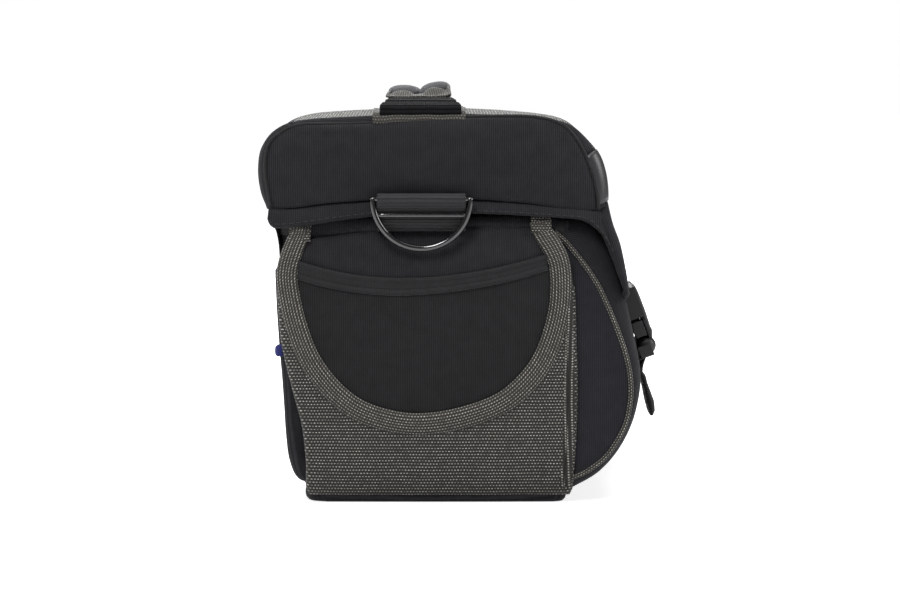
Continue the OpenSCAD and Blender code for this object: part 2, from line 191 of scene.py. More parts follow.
def ballistic(name, pitch=1.34, row=1.36, dark=(0.0035, 0.0035, 0.0030),
              mid=(0.026, 0.0245, 0.021), pale=(0.40, 0.39, 0.345), dot=(0.31, 0.19)):
    """Basket weave: olive threads, dark gaps, and a pale dot in each staggered cell.

    pitch and row are the cell in mm; dot is the half-size of the dot in shares of a cell.
    """
    wobble_depth, turn = 0.0003, 2 * math.pi
    s = Shader(name)
    u, v, uv = s.fabric_uv()
    wobble = s.noise(uv, scale=90.0, detail=2.0)
    rows = s.div(s.add(v, s.mul(wobble, wobble_depth)), row * MM)
    row_id = s.math("FLOOR", rows)
    cell_v = s.sub(s.math("FRACT", rows), 0.5)
    stagger = s.mul(s.math("FLOORED_MODULO", row_id, 2.0), 0.5)
    columns = s.add(s.div(s.add(u, s.mul(wobble, wobble_depth)), pitch * MM), stagger)
    column_id = s.math("FLOOR", columns)
    cell_u = s.sub(s.math("FRACT", columns), 0.5)
    random = s.cell_random(column_id, row_id)
    # pale dot: soft-edged ellipse, its brightness varying from cell to cell
    squares = s.add(s.math("POWER", s.div(cell_u, dot[0]), 2.0),
                    s.math("POWER", s.div(cell_v, dot[1]), 2.0))
    distance = s.math("SQRT", squares)
    spot = s.sub(1.0, s.div(s.sub(distance, 0.55), 0.6, clamp=True))
    spot = s.mul(spot, s.scaled(random, gain=0.75, offset=0.3, clamp=True))
    # threads: rounded across each cell both ways, with slow blotches
    thread = s.mul(s.math("COSINE", s.mul(cell_v, turn)), 0.5)
    thread = s.add(thread, 0.5)
    crossing = s.scaled(s.math("COSINE", s.mul(cell_u, turn)), 0.5, 0.5)
    body = s.mul(s.scaled(thread, gain=0.65, offset=0.25),
                 s.scaled(crossing, gain=0.5, offset=0.55))
    big = s.noise(uv, scale=30.0, detail=3.0)
    body = s.mul(body, s.scaled(big, gain=0.7, offset=0.65), clamp=True)
    color = s.mix(spot, s.mix(body, dark, mid), pale)
    height = s.add(s.mul(body, 0.8), s.mul(spot, 0.8))
    s.set({"Base Color": color,
           "Normal": s.bump(height, strength=0.8, distance=0.0003),
           "Roughness": s.scaled(spot, gain=-0.25, offset=0.72),
           "Specular IOR Level": 0.35, "Sheen Weight": 0.05})
    return s.material


def plastic(name, color, rough, coat=0.0, grain=0.00002, scale=900.0):
    """Moulded or coated surface: fine grain, with slow changes of tone and gloss."""
    s = Shader(name)
    position = s.position()
    fine = s.noise(position, scale=scale)
    big = s.noise(position, scale=60.0)
    darker = tuple(c * 0.75 for c in color)
    lighter = tuple(c * 1.35 for c in color)
    s.set({"Base Color": s.mix(big, darker, lighter),
           "Roughness": s.scaled(big, gain=0.16, offset=rough - 0.08),
           "Normal": s.bump(fine, strength=0.35, distance=grain),
           "Coat Weight": coat, "Coat Roughness": 0.15})
    return s.material


def brushed(name, low, high):
    """Brushed loop lining: short random fibres."""
    s = Shader(name)
    position = s.position()
    fibre = s.noise(position, scale=1400.0, detail=4.0, rough=0.7)
    big = s.noise(position, scale=45.0)
    tone = s.add(s.mul(fibre, 0.8), s.centred(big, 0.5), clamp=True)
    s.set({"Base Color": s.mix(tone, low, high),
           "Normal": s.bump(fibre, strength=0.7, distance=0.0003),
           "Roughness": s.scaled(big, gain=0.1, offset=0.85),
           "Sheen Weight": 0.35, "Specular IOR Level": 0.2})
    return s.material


BODY = ribbed("body_fabric", (0.0030, 0.0030, 0.0038), (0.026, 0.0255, 0.0305),
              sheen=0.04, spec=0.18, depth=0.0002)
GUSSET = ribbed("gusset_fabric", (0.0055, 0.0055, 0.0075), (0.024, 0.024, 0.030),
                sheen=0.05, spec=0.2)
POCKET_CLOTH = ribbed("pocket_fabric", (0.0035, 0.0035, 0.0040), (0.021, 0.021, 0.0225),
                      pitch=0.95, sheen=0.03, spec=0.18)
WEAVE = ballistic("woven_trim")
BAND_WEAVE = ballistic("woven_band", row=1.1, mid=(0.048, 0.043, 0.035), dot=(0.30, 0.20))
ANCHOR_WEAVE = ballistic("anchor_weave", pitch=1.3, row=1.0, dark=(0.012, 0.011, 0.009),
                         mid=(0.058, 0.054, 0.046), pale=(0.125, 0.118, 0.10), dot=(0.3, 0.26))
WEBBING = ribbed("webbing", (0.0025, 0.0025, 0.003), (0.022, 0.022, 0.0245), pitch=1.45,
                 across=True, depth=0.0004, sheen=0.05, spec=0.35, rough=0.62, blotch=0.15)
# darker copy of the webbing for the handle strap: painted shade, for the shadow the strap's
# faces sit in
SHADED_WEBBING = ribbed("webbing_dark", (0.0010, 0.0010, 0.0012), (0.0105, 0.0105, 0.0118),
                      pitch=1.45, across=True, depth=0.0004, sheen=0.0, spec=0.08, rough=0.8,
                      blotch=0.12)
ZIP_TAPE = ribbed("zip_tape_fabric", (0.006, 0.006, 0.007), (0.026, 0.026, 0.028),
                  pitch=0.5, depth=0.0001)
EDGE_TAPE = ribbed("edge_tape", (0.0045, 0.0045, 0.005), (0.020, 0.020, 0.022), pitch=0.7,
                   across=True, depth=0.00015, sheen=0.05)
GRIP = ribbed("grip_fabric", (0.016, 0.016, 0.019), (0.066, 0.065, 0.072), pitch=0.8,
              depth=0.00015, sheen=0.15)
COATED = plastic("coated_patch", (0.013, 0.013, 0.0145), rough=0.46, coat=0.12,
                 grain=0.00006, scale=700.0)
RING = plastic("ring_plastic", (0.0035, 0.0035, 0.004), rough=0.12, grain=0.000004)
RING.node_tree.nodes["Principled BSDF"].inputs["IOR"].default_value = 1.85
BUCKLE = plastic("buckle_plastic", (0.008, 0.008, 0.009), rough=0.46, grain=0.00004)
METAL = plastic("zip_metal", (0.022, 0.022, 0.023), rough=0.3, coat=0.3)
LINING = brushed("lining", (0.018, 0.018, 0.020), (0.075, 0.075, 0.080))
TAG = ribbed("tag_fabric", (0.006, 0.008, 0.060), (0.03, 0.036, 0.20), pitch=0.5,
             depth=0.00006)
THREAD = ribbed("thread", (0.010, 0.010, 0.011), (0.055, 0.055, 0.058), pitch=0.3,
                depth=0.00005, sheen=0.1)

# the slot a piece takes from its material; thread has none
SLOT_MATERIALS = {
    "body_fabric": (BODY, GUSSET, POCKET_CLOTH, EDGE_TAPE),
    "woven_trim": (WEAVE, BAND_WEAVE, ANCHOR_WEAVE),
    "webbing": (WEBBING, SHADED_WEBBING, ZIP_TAPE),
    "grip_fabric": (GRIP,), "coated_patch": (COATED,), "ring_plastic": (RING,),
    "buckle_plastic": (BUCKLE,), "zip_metal": (METAL,), "lining": (LINING,),
    "tag_fabric": (TAG,),
}
SLOTS = {m.name: slot for slot, mats in SLOT_MATERIALS.items() for m in mats}


# ------------------------------------------------------------------ curves and fields
def points(*coordinates):
    """Coordinates broadcast together and stacked on a last axis."""
    return np.stack(np.broadcast_arrays(*coordinates), -1)


def unit(v):
    return v / np.maximum(np.linalg.norm(v, axis=-1, keepdims=True), 1e-9)


def arc_length(path):
    return np.r_[0, np.cumsum(np.linalg.norm(np.diff(path, axis=0), axis=1))]


def interp_rows(at, lengths, rows):
    return np.stack([np.interp(at, lengths, column) for column in rows.T], -1)


def spline(pts, steps=8):
    """Catmull-Rom curve through the points."""
    p = np.asarray(pts, float)
    out = []
    for i in range(len(p) - 1):
        a, b, c, d = p[max(i - 1, 0)], p[i], p[i + 1], p[min(i + 2, len(p) - 1)]
        for k in range(steps):
            t = k / steps
            out.append(0.5 * (2 * b + (c - a) * t + (2 * a - 5 * b + 4 * c - d) * t * t
                              + (3 * b - a - 3 * c + d) * t ** 3))
    out.append(p[-1])
    return np.array(out)


def resample(path, count):
    path = np.asarray(path, float)
    lengths = arc_length(path)
    return interp_rows(np.linspace(0, lengths[-1], count), lengths, path)


def smooth(t):
    t = np.clip(t, 0, 1)
    return t * t * (3 - 2 * t)


def dome(t, power):
    """0 at t = 0 and 1, and 1 in the middle; a small power makes it squarer."""
    return np.clip(4 * t * (1 - t), 0, 1) ** power


def quarter(t):
    """Quarter circle: 1 up to t = 0, falling to 0 at t = 1."""
    return np.sqrt(np.maximum(0.0, 1 - np.maximum(0.0, t) ** 2))


def gauss(t):
    return np.exp(-t ** 2)


def steps_from_end(count):
    return np.minimum(np.arange(count), np.arange(count)[::-1])


def y_at(outline, z):
    """Y of a (Y, Z) outline at height z."""
    by_height = outline[np.argsort(outline[:, 1])]
    return np.interp(z, by_height[:, 1], by_height[:, 0])


def creases(a, b, seed, height, shortest=14.0, longest=46.0, waves=7):
    """Gentle creases: a few fixed waves of different lengths and headings."""
    random = np.random.default_rng(seed)
    total = 0
    for _ in range(waves):
        length = random.uniform(shortest, longest)
        heading = random.uniform(0, math.pi)
        phase = random.uniform(0, 6.28)
        along = a * math.cos(heading) + b * math.sin(heading)
        wave = np.sin(along * 2 * math.pi / length + phase)
        total = total + np.sign(wave) * np.abs(wave) ** 1.4 * (length / longest)
    return height * total / math.sqrt(waves)


def coons(top, left, bottom, right):
    """Coons patch; top and bottom run the same way, left and right run from top to bottom."""
    u = np.linspace(0, 1, len(top))[:, None, None]
    v = np.linspace(0, 1, len(left))[None, :, None]
    rows = (1 - v) * top[:, None] + v * bottom[:, None]
    columns = (1 - u) * left[None] + u * right[None]
    corners = ((1 - u) * (1 - v) * top[0] + u * (1 - v) * top[-1]
               + (1 - u) * v * bottom[0] + u * v * bottom[-1])
    return rows + columns - corners


# ------------------------------------------------------------------ mesh builders
def add_object(name, data):
    obj = bpy.data.objects.new(name, data)
    bpy.context.scene.collection.objects.link(obj)
    return obj


def register(obj, body="bag", replaces="", slot=None):
    mesh = obj.data
    bm = bmesh.new()
    bm.from_mesh(mesh)
    bmesh.ops.recalc_face_normals(bm, faces=bm.faces)
    bm.to_mesh(mesh)
    bm.free()
    if body:
        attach(obj, body)
    if replaces:
        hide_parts(*replaces.split())
    slot = slot or SLOTS.get(mesh.materials[0].name)
    return obj


def mesh_object(name, verts, faces, uv, material, **part):
    """verts in mm, with one UV per vertex, also in mm."""
    mesh = bpy.data.meshes.new(name)
    mesh.from_pydata([tuple(v * MM) for v in verts.reshape(-1, 3)], [], faces)
    layer = mesh.uv_layers.new(name="fab")
    index = np.empty(len(mesh.loops), np.int32)
    mesh.loops.foreach_get("vertex_index", index)
    loop_uv = (uv.reshape(-1, 2) * MM)[index]
    layer.data.foreach_set("uv", loop_uv.astype(np.float32).ravel())
    mesh.materials.append(material)
    mesh.polygons.foreach_set("use_smooth", [True] * len(mesh.polygons))
    mesh.update()
    return register(add_object(name, mesh), **part)


def grid_faces(rows, cols, wrap_rows=False, wrap_cols=False):
    faces = []
    for i in range(rows if wrap_rows else rows - 1):
        for j in range(cols if wrap_cols else cols - 1):
            here, there = i * cols, (i + 1) % rows * cols
            k = (j + 1) % cols
            faces.append((here + j, there + j, there + k, here + k))
    return faces


def arc_uv(grid):
    """Arc-length UVs of a grid, measured from its middle row and column."""
    du = np.linalg.norm(np.diff(grid, axis=0), axis=2)
    dv = np.linalg.norm(np.diff(grid, axis=1), axis=2)
    rows, cols = grid.shape[:2]
    u = np.r_[np.zeros((1, cols)), np.cumsum(du, axis=0)]
    v = np.c_[np.zeros((rows, 1)), np.cumsum(dv, axis=1)]
    return points(u - u[rows // 2], v - v[:, cols // 2][:, None])


def planar_uv(grid, a=1, b=2):
    return grid[..., [a, b]]


def grid_normals(grid):
    return unit(np.cross(np.gradient(grid, axis=0), np.gradient(grid, axis=1)))


def front_normals(grid):
    """Normals of a grid on the front, turned to face -Y."""
    normals = grid_normals(grid)
    return normals * np.sign(normals[..., 1] * grid[..., 1])[..., None]


def sheet(name, outer, material, thick, side=1, uv=None, closed=False, **part):
    """A closed cloth piece: `outer` is its outer face, a second grid lies `thick` behind.

    side picks which way the grid's normals point; closed joins the last row to the first.
    """
    rows, cols = outer.shape[:2]
    if closed:
        wrapped = np.concatenate([outer[-2:], outer, outer[:2]])
        normals = grid_normals(wrapped)[2:-2]
    else:
        normals = grid_normals(outer)
    inner = outer - normals * side * thick
    uv = arc_uv(outer) if uv is None else uv
    count = rows * cols
    faces = grid_faces(rows, cols, closed)
    faces += [tuple(i + count for i in reversed(face)) for face in faces]
    if closed:
        ring = [i * cols for i in range(rows)] + [0]
        walls = [ring[::-1], [i + cols - 1 for i in ring]]
    else:
        last = count - cols
        walls = [range(cols), range(count - 1, last - 1, -1),
                 range(last, -1, -cols), range(cols - 1, count, cols)]
    for wall in walls:
        faces += [(a, a + count, b + count, b) for a, b in zip(wall[:-1], wall[1:])]
    if side < 0:
        faces = [tuple(reversed(face)) for face in faces]
    return mesh_object(name, np.concatenate([outer, inner]), faces, np.concatenate([uv, uv]),
                       material, **part)


def loft(name, rings, uv, material, **part):
    """Closed rings joined in a row, both ends capped."""
    count, size = rings.shape[:2]
    faces = grid_faces(count, size, wrap_cols=True)
    faces.append(tuple(range(size - 1, -1, -1)))
    faces.append(tuple(range((count - 1) * size, count * size)))
    return mesh_object(name, rings, faces, uv, material, **part)


def sweep(name, path, section, material, up=None, scale=1.0, **part):
    """Sweeps a closed section of (normal, binormal) points along a path."""
    path, section = np.asarray(path, float), np.asarray(section, float)
    tangent = unit(np.gradient(path, axis=0))
    if up is None:
        # carry the first normal along without twist
        normals = [unit(np.cross(tangent[0], [0.3, 0.9, 0.2]))]
        for t in tangent[1:]:
            normals.append(unit(normals[-1] - t * np.dot(normals[-1], t)))
        normal = np.array(normals)
        binormal = np.cross(tangent, normal)
    else:
        binormal = unit(np.cross(tangent, up))
        normal = np.cross(binormal, tangent)
    scale = np.reshape(scale, (-1, 1, 1))
    rings = (path[:, None] + normal[:, None] * (section[:, :1] * scale)
             + binormal[:, None] * (section[:, 1:] * scale))
    uv = points(arc_length(path)[:, None], arc_length(section))
    return loft(name, rings, uv, material, **part)


def tube(name, path, radius, material, sides, **part):
    angle = 2 * math.pi * np.arange(sides) / sides
    section = points(radius * np.cos(angle), radius * np.sin(angle))
    return sweep(name, path, section, material, **part)


def strap_section(width, thick, radius, cuts):
    """Rounded flat section of (thickness, width) points, cut finely across its width."""
    w, t = width / 2 - radius, thick / 2 - radius
    corners = []
    for cx, cy, start in ((t, w, 0), (-t, w, 90), (-t, -w, 180), (t, -w, 270)):
        for turn in (0, 45, 90):
            angle = math.radians(start + turn)
            corners.append((cx + radius * math.cos(angle), cy + radius * math.sin(angle)))
    out = []
    for i, p in enumerate(corners):
        out.append(p)
        q = corners[(i + 1) % len(corners)]
        if abs(q[1] - p[1]) > width / 2:
            for s in np.linspace(0, 1, cuts + 2)[1:-1]:
                out.append((p[0] + (q[0] - p[0]) * s, p[1] + (q[1] - p[1]) * s))
    return np.array(out)


def flat_strap(name, path, section, across, material, deepen=1.0, widen=1.0, lift=0.0, **part):
    """Webbing along a path, its width along `across`; deepen and widen scale each ring."""
    normal = unit(np.cross(unit(np.gradient(path, axis=0)), across))
    deepen, widen = (np.reshape(value, (-1, 1, 1)) for value in (deepen, widen))
    rings = (path[:, None] + normal[:, None] * (section[:, :1] * deepen)
             + across * (section[:, 1:] * widen))
    rings[..., 2] += lift
    return loft(name, rings, points(section[:, 1], arc_length(path)[:, None]), material, **part)


def pillow(name, centre, size, material, radius, bulge, cuts, **part):
    """A padded slab: a box with rounded edges whose faces crown outwards."""
    bm = bmesh.new()
    bmesh.ops.create_cube(bm, size=2.0)
    bmesh.ops.subdivide_edges(bm, edges=bm.edges[:], cuts=cuts, use_grid_fill=True)
    cube = np.array([v.co[:] for v in bm.verts])
    faces = [tuple(v.index for v in face.verts) for face in bm.faces]
    normals = [face.normal.copy() for face in bm.faces]
    bm.free()
    half = np.asarray(size, float) / 2
    spread = np.sign(cube) * (1 - (1 - np.abs(cube)) ** 1.7)   # crowds vertices to the edges
    verts = spread * half
    core = np.clip(verts, -(half - radius), half - radius)
    offset = verts - core
    length = np.linalg.norm(offset, axis=1, keepdims=True)
    rounded = length[:, 0] > 1e-6
    verts[rounded] = core[rounded] + offset[rounded] / length[rounded] * radius
    fade = 1 - np.abs(spread) ** 2.2
    for k in range(3):
        a, b = [axis for axis in range(3) if axis != k]
        crown = np.sign(cube[:, k]) * bulge[k] * fade[:, a] * fade[:, b]
        verts[:, k] += np.where(np.abs(cube[:, k]) > 0.999, crown, 0)
    verts = verts + np.asarray(centre, float)
    mesh = bpy.data.meshes.new(name)
    mesh.from_pydata([tuple(v * MM) for v in verts], [], faces)
    layer = mesh.uv_layers.new(name="fab")
    for polygon, normal in zip(mesh.polygons, normals):
        a, b = ((1, 2), (0, 2), (0, 1))[int(np.argmax([abs(c) for c in normal]))]
        for loop in polygon.loop_indices:
            vert = verts[mesh.loops[loop].vertex_index]
            layer.data[loop].uv = (vert[a] * MM, vert[b] * MM)
        polygon.use_smooth = True
    mesh.materials.append(material)
    return register(add_object(name, mesh), **part)


# one stitch: place along its length, share of its radius
STITCH = np.array([(-0.5, 0.05), (-0.42, 0.75), (-0.2, 1.0), (0.2, 1.0), (0.42, 0.75),
                   (0.5, 0.05)])


def stitches(name, path, normal, radius=0.24, body="bag"):
    """A row of lockstitches lying on a seam: short rounded threads, evenly spaced."""
    length, gap, lift, sides = 2.1, 1.0, 0.12, 6
    path = np.asarray(path, float)
    s = arc_length(path)
    count = max(1, int(s[-1] / (length + gap)))
    at = (np.arange(count) + 0.5) * s[-1] / count
    tangent = unit(interp_rows(np.minimum(at + 0.5, s[-1]), s, path)
                   - interp_rows(np.maximum(at - 0.5, 0), s, path))
    normal = unit(interp_rows(at, s, np.broadcast_to(normal, path.shape)))
    axes = np.stack([tangent, normal, np.cross(tangent, normal)], 1)
    place, swell = STITCH.T[:, :, None]
    angle = 2 * math.pi * np.arange(sides) / sides
    local = points(place * length,
                   lift * (1 - (2 * place) ** 4) + radius * swell * np.sin(angle) * 0.8,
                   radius * swell * np.cos(angle))
    verts = interp_rows(at, s, path)[:, None, None] + local @ axes[:, None]
    uv = np.broadcast_to(points(place * length, np.arange(sides) * 0.2),
                         (count, len(STITCH), sides, 2))
    faces = []
    for base in range(0, count * len(STITCH) * sides, len(STITCH) * sides):
        end = base + (len(STITCH) - 1) * sides
        for ring in range(base, end, sides):
            for k in range(sides):
                j = (k + 1) % sides
                faces.append((ring + k, ring + j, ring + sides + j, ring + sides + k))
        faces.append(tuple(range(base + sides - 1, base - 1, -1)))
        faces.append(tuple(range(end, end + sides)))
    return mesh_object(name, verts, faces, uv, THREAD, body=body)


def softened(name, node, material, width):
    """A moulded part: the node's own mesh copied, with its edges rounded."""
    source = frame["nodes"][node]
    mesh = source.data.copy()
    mesh.name = name
    mesh.materials.clear()
    mesh.materials.append(material)
    obj = add_object(name, mesh)
    obj.matrix_world = source.matrix_world.copy()
    bm = bmesh.new()
    bm.from_mesh(mesh)
    bmesh.ops.remove_doubles(bm, verts=bm.verts, dist=1e-6)
    bmesh.ops.dissolve_limit(bm, angle_limit=0.02, verts=bm.verts, edges=bm.edges)
    bm.to_mesh(mesh)
    bm.free()
    bevel = obj.modifiers.new("round", "BEVEL")
    bevel.width = width * MM
    bevel.segments = 3
    bevel.limit_method = "ANGLE"
    bevel.angle_limit = math.radians(30.0)
    bevel.use_clamp_overlap = True
    for polygon in mesh.polygons:
        polygon.use_smooth = True
    obj.modifiers.new("wn", "WEIGHTED_NORMAL").keep_sharp = False
    return obj


def node_body(node):
    bodies = frame["record"]["behaviour"]["bodies"]
    return next((body for body, nodes in bodies.items() if node in nodes), None)


# ------------------------------------------------------------------ outlines, (Y, Z)
# back of the box, downwards
BACK = spline([(66.8, 124), (66.2, 100), (64.6, 55), (62.5, 26), (59.5, 13), (55.5, 6.5),
               (50, 2.5)], 6)
# front pocket, downwards: over its length, and at its two ends
POCKET_FOOT = [(-90.4, 57), (-90, 46), (-87, 34), (-81, 22.5), (-72, 12.5), (-61.0, 6.0)]
POCKET = spline([(-60.5, 116.8), (-66, 117.3), (-70.3, 115.6), (-75.4, 107), (-80.3, 95),
                 (-84.2, 82), (-88.2, 69)] + POCKET_FOOT)
POCKET_END = spline([(-53.8, 122.6), (-60.5, 125.0), (-68.0, 123.0), (-74.4, 115.6),
                     (-78.2, 107.0), (-80.8, 99), (-84.6, 86), (-88.4, 69)] + POCKET_FOOT)
# piping at the front pocket's ends
TRIM = spline([(-52.5, 118.6), (-57.5, 114.4), (-65.2, 105.1), (-71.4, 95.8), (-75.8, 86.6),
               (-80.4, 75.4), (-83.9, 65), (-85.9, 54.6), (-85.8, 44.2), (-83.2, 33.4),
               (-76.2, 21.6), (-67.3, 14.3), (-59.5, 10.8)])
# lid from its back lower edge over the top to its front, and the seam at its ends
LID = spline([(71.0, 120.6), (72.3, 128.7), (74.9, 136), (76, 146), (74.2, 156.5), (68.2, 165),
              (57, 169.4), (30, 171.4), (0, 172), (-28, 171.2), (-47, 169.8), (-59.5, 167),
              (-66.5, 160.8), (-71, 154), (-74.3, 145), (-75.6, 136), (-75.8, 130.6)], 10)
SEAM = spline([(70.2, 128.8), (71.4, 135.6), (72.6, 145.6), (71.6, 155.5), (67.2, 161.0),
               (58, 165.2), (40, 165.6), (24, 166.2), (4, 167.9), (-28, 168.9), (-45, 168.4),
               (-56.0, 165.2), (-62.0, 159.0), (-66.0, 152), (-69.4, 143), (-71.2, 135),
               (-71.6, 128.6)], 10)
FLAP = spline([(-75.8, 131.4), (-78, 122), (-80.8, 113), (-83.4, 101), (-84.8, 92),
               (-85.6, 85.8)])
# opening of the end pocket, from its back top tab round the bottom to its front top tab
MOUTH = spline([(54.0, 121.0), (55.0, 116.5), (57.6, 110), (59.6, 103), (59.6, 96),
                (56.4, 80.8), (50.7, 65.8), (42, 53.8), (31, 45), (17.3, 40.4), (5.6, 39.3),
                (-6, 40.6), (-18.8, 44), (-29.8, 49), (-38, 56.2), (-43.8, 63.9),
                (-47.6, 72.1), (-51, 84.2), (-52, 94.2), (-51.5, 104.1), (-48.9, 110.6),
                (-46.0, 115.2), (-43.6, 119.4), (-42.6, 123.0)])
# back edge (downwards) and front edge (upwards) of the woven end panel
WOVEN_BACK = spline([(62.5, 117), (67.0, 103), (66.3, 85), (64.8, 69), (60.3, 50),
                     (56.3, 34.6), (54.6, 19), (54.9, 8)])
WOVEN_FRONT = spline([(-60.3, 8), (-61.6, 32.4), (-61.9, 54.4), (-61.3, 71.7), (-60.7, 91.6),
                      (-59.5, 101.5), (-56.4, 111.5), (-52.8, 117)])


def bulge(y, z):
    """How far the padded end of the box stands out beyond its plane."""
    across = np.clip(np.abs((y - 1.5) / 66.0), 0, 1)
    upward = np.clip(np.abs((z - 58) / 66.0), 0, 1)
    return 3.2 * (1 - across ** 2.6) * (1 - upward ** 2.4)


def end_points(side, y, z, out):
    """Points on the end of the bag, `out` mm beyond the padded surface."""
    return points(side * (HALF_X + bulge(y, z) + out), y, z)


# ------------------------------------------------------------------ main box
LINING_INSET = 8.6
RIM_Z = 123.6


def box_section(z, inset):
    """Outline of the box at height z, from the front left corner round by the right."""
    is_shell = inset < 1
    back_radius, front_radius = 9.0, 5.0
    tuck = 0.6 * (4.0 * (1 - smooth(z / 14.0)))      # the foot draws in
    front = -59.6 + inset + tuck
    back = y_at(BACK, z) - inset if is_shell else 48.9
    half = HALF_X - 0.9 - inset - tuck
    crown = math.sin(math.pi * min(max(z / 124, 0), 1))
    s = np.linspace(-1, 1, 44)
    front_face = points(s * (half - front_radius), front - 1.2 * (1 - s * s) * crown)
    back_face = points(-s * (half - back_radius), back + 0.8 * (1 - s * s) * crown)
    cos, sin = (f(np.radians(np.linspace(0, 90, 12)[1:-1])) for f in (np.cos, np.sin))
    front_corner = points(half - front_radius + front_radius * sin,
                          front + front_radius - front_radius * cos)
    back_corner = points(half - back_radius + back_radius * cos,
                         back - back_radius + back_radius * sin)
    y = np.linspace(front + front_radius, back - back_radius, 26)
    end_face = points(half + (bulge(y, z) * 0.75 if is_shell else 0), y)
    right = np.concatenate([front_corner, end_face, back_corner])
    return np.concatenate([front_face, right, back_face, right[::-1] * [-1, 1]])


def box_wall(name, inset, heights, material, thick, replaces):
    sections = [box_section(z, inset) for z in heights]
    wall = np.stack([points(*xy.T, z) for xy, z in zip(sections, heights)], 1)
    uv = points(arc_length(sections[-1])[:, None], heights)
    sheet(name, wall, material, thick, uv=uv, closed=True, replaces=replaces)


box_wall("body_shell", 0.0,
         np.r_[np.linspace(3.4, 16, 9), np.linspace(20, 118, 30), np.linspace(120, RIM_Z, 3)],
         BODY, 1.4, "back_shell front_shell end_shell_left end_shell_right")
box_wall("body_lining", LINING_INSET,
         np.r_[np.linspace(9.5, 14, 3), np.linspace(20, 123.4, 26)],
         LINING, 1.0, "back_foam front_foam end_foam_left end_foam_right")

# rolled binding over the rim: share of the way from shell to lining, push outwards, rise
RIM = np.array([(0, 0.3, -5.0), (0, 0.5, -2.0), (0, 0.3, -0.2), (0.14, 0, 1.1), (0.5, 0, 1.5),
                (0.86, 0, 1.1), (1.08, 0, -0.2), (1.1, 0, -2.0), (1.06, 0, -5.0)])
shell_line = box_section(RIM_Z, 0.0)[:, None]
inward = box_section(RIM_Z, LINING_INSET)[:, None] - shell_line
rim_xy = shell_line + inward * RIM[:, :1] - unit(inward) * RIM[:, 1:2]
sheet("rim_binding", points(rim_xy[..., 0], rim_xy[..., 1], 122.4 + RIM[:, 2]), EDGE_TAPE, 0.5,
      side=-1, closed=True)
pillow("floor_lining", (0, -2.2, 8.0), (216.4, 99.4, 4.6), LINING, radius=1.6,
       bulge=(0, 0, 0.6), cuts=22, replaces="floor_pad")

# base: rounded edges, flat where it stands; offset outwards from the box, height
BASE = [(-9, 0.25), (-3.2, 0.0), (-1.2, 0.35), (0.0, 1.6), (0.35, 3.2), (0.2, 5.2), (-0.6, 6.6)]
foot = box_section(8.0, 0.6)
foot_tangent = np.roll(foot, -1, 0) - np.roll(foot, 1, 0)
foot_normal = unit(foot_tangent[:, ::-1] * [1, -1])
base = np.array([points(*(foot + foot_normal * out).T, z) for out, z in BASE])
loft("base_skin", base, base[..., :2], BODY, replaces="base_panel")

# ------------------------------------------------------------------ dividers
DIVIDER_X = 38
# tape folded over a divider's edge: out of the edge, across its thickness
TAPE_SECTION = [(0.55, -3.1), (0.75, 0), (0.55, 3.1), (-1.6, 3.3), (-1.9, 3.0), (-1.2, 0),
                (-1.9, -3.0), (-1.6, -3.3)]
for side, tag in SIDES:
    x = side * DIVIDER_X
    divider = "divider_" + tag
    pillow(divider + "_pad", (x, -1.35, 56.6), (5.4, 96.1, 91.6), LINING, radius=1.5,
           bulge=(0.9, 0, 0), cuts=18, body=divider, replaces=divider)
    path = resample([(x, -49.3, 12), (x, -49.3, 101.6), (x, 46.6, 101.6), (x, 46.6, 12)], 120)
    sweep(divider + "_edge", path, TAPE_SECTION, EDGE_TAPE,
          up=(path - np.array([x, -1.9, 50])) * [0, 1, 1] / 50.0, body=divider, slot="lining")

# ------------------------------------------------------------------ ends, mirrored
mouth = resample(MOUTH, 121)


def hem_top(y):
    """Height of the end pocket's mouth, lowest at y = 14."""
    return 98.7 + np.where(y > 14, 7.1 * ((y - 14) / 44) ** 2, 10.2 * ((y - 14) / 63.2) ** 2)


# where the mouth's hem meets the opening's back and front edges
back_meet, front_meet = (
    first + int(np.argmin(np.abs(part[:, 1] - hem_top(part[:, 0]))))
    for first, part in ((0, mouth[:60]), (60, mouth[60:])))


def foot_draw(z):
    """How far the woven panel draws in towards the base."""
    return 3.2 * (1 - smooth((z - 3.0) / 13.0))


def end_lower(side, tag):
    """Woven panel from under the binding out to the end's edges and down to the base."""
    inner = mouth[8:-8]
    outer = resample(np.concatenate([
        resample(WOVEN_BACK, 400),
        resample([(54.9, 8), (54.6, 4.2), (-60.0, 4.2), (-60.3, 8)], 300),
        resample(WOVEN_FRONT, 400)]), 1000)
    outer = resample(outer[70:-70], len(inner))
    k = np.linspace(0, 1, 22)
    y, z = (inner[:, i, None] * (1 - k) + outer[:, i, None] * k for i in (0, 1))
    out = 1.5 + 0.7 * np.sin(math.pi * k) ** 0.8 - 1.5 * smooth((k - 0.93) / 0.07)
    ripple = 0.25 * np.sin(y * 0.21 + z * 0.05) * gauss((z - 20) / 18)
    wrinkle = creases(y, z, seed=61, height=0.22, shortest=18, longest=60)
    grid = end_points(side, y, z,
                      out + ripple + wrinkle * np.sin(math.pi * k) - foot_draw(z))
    sheet(f"end_lower_{tag}_panel", grid, WEAVE, 1.1, side=-side, uv=planar_uv(grid),
          replaces=f"end_lower_{tag}")


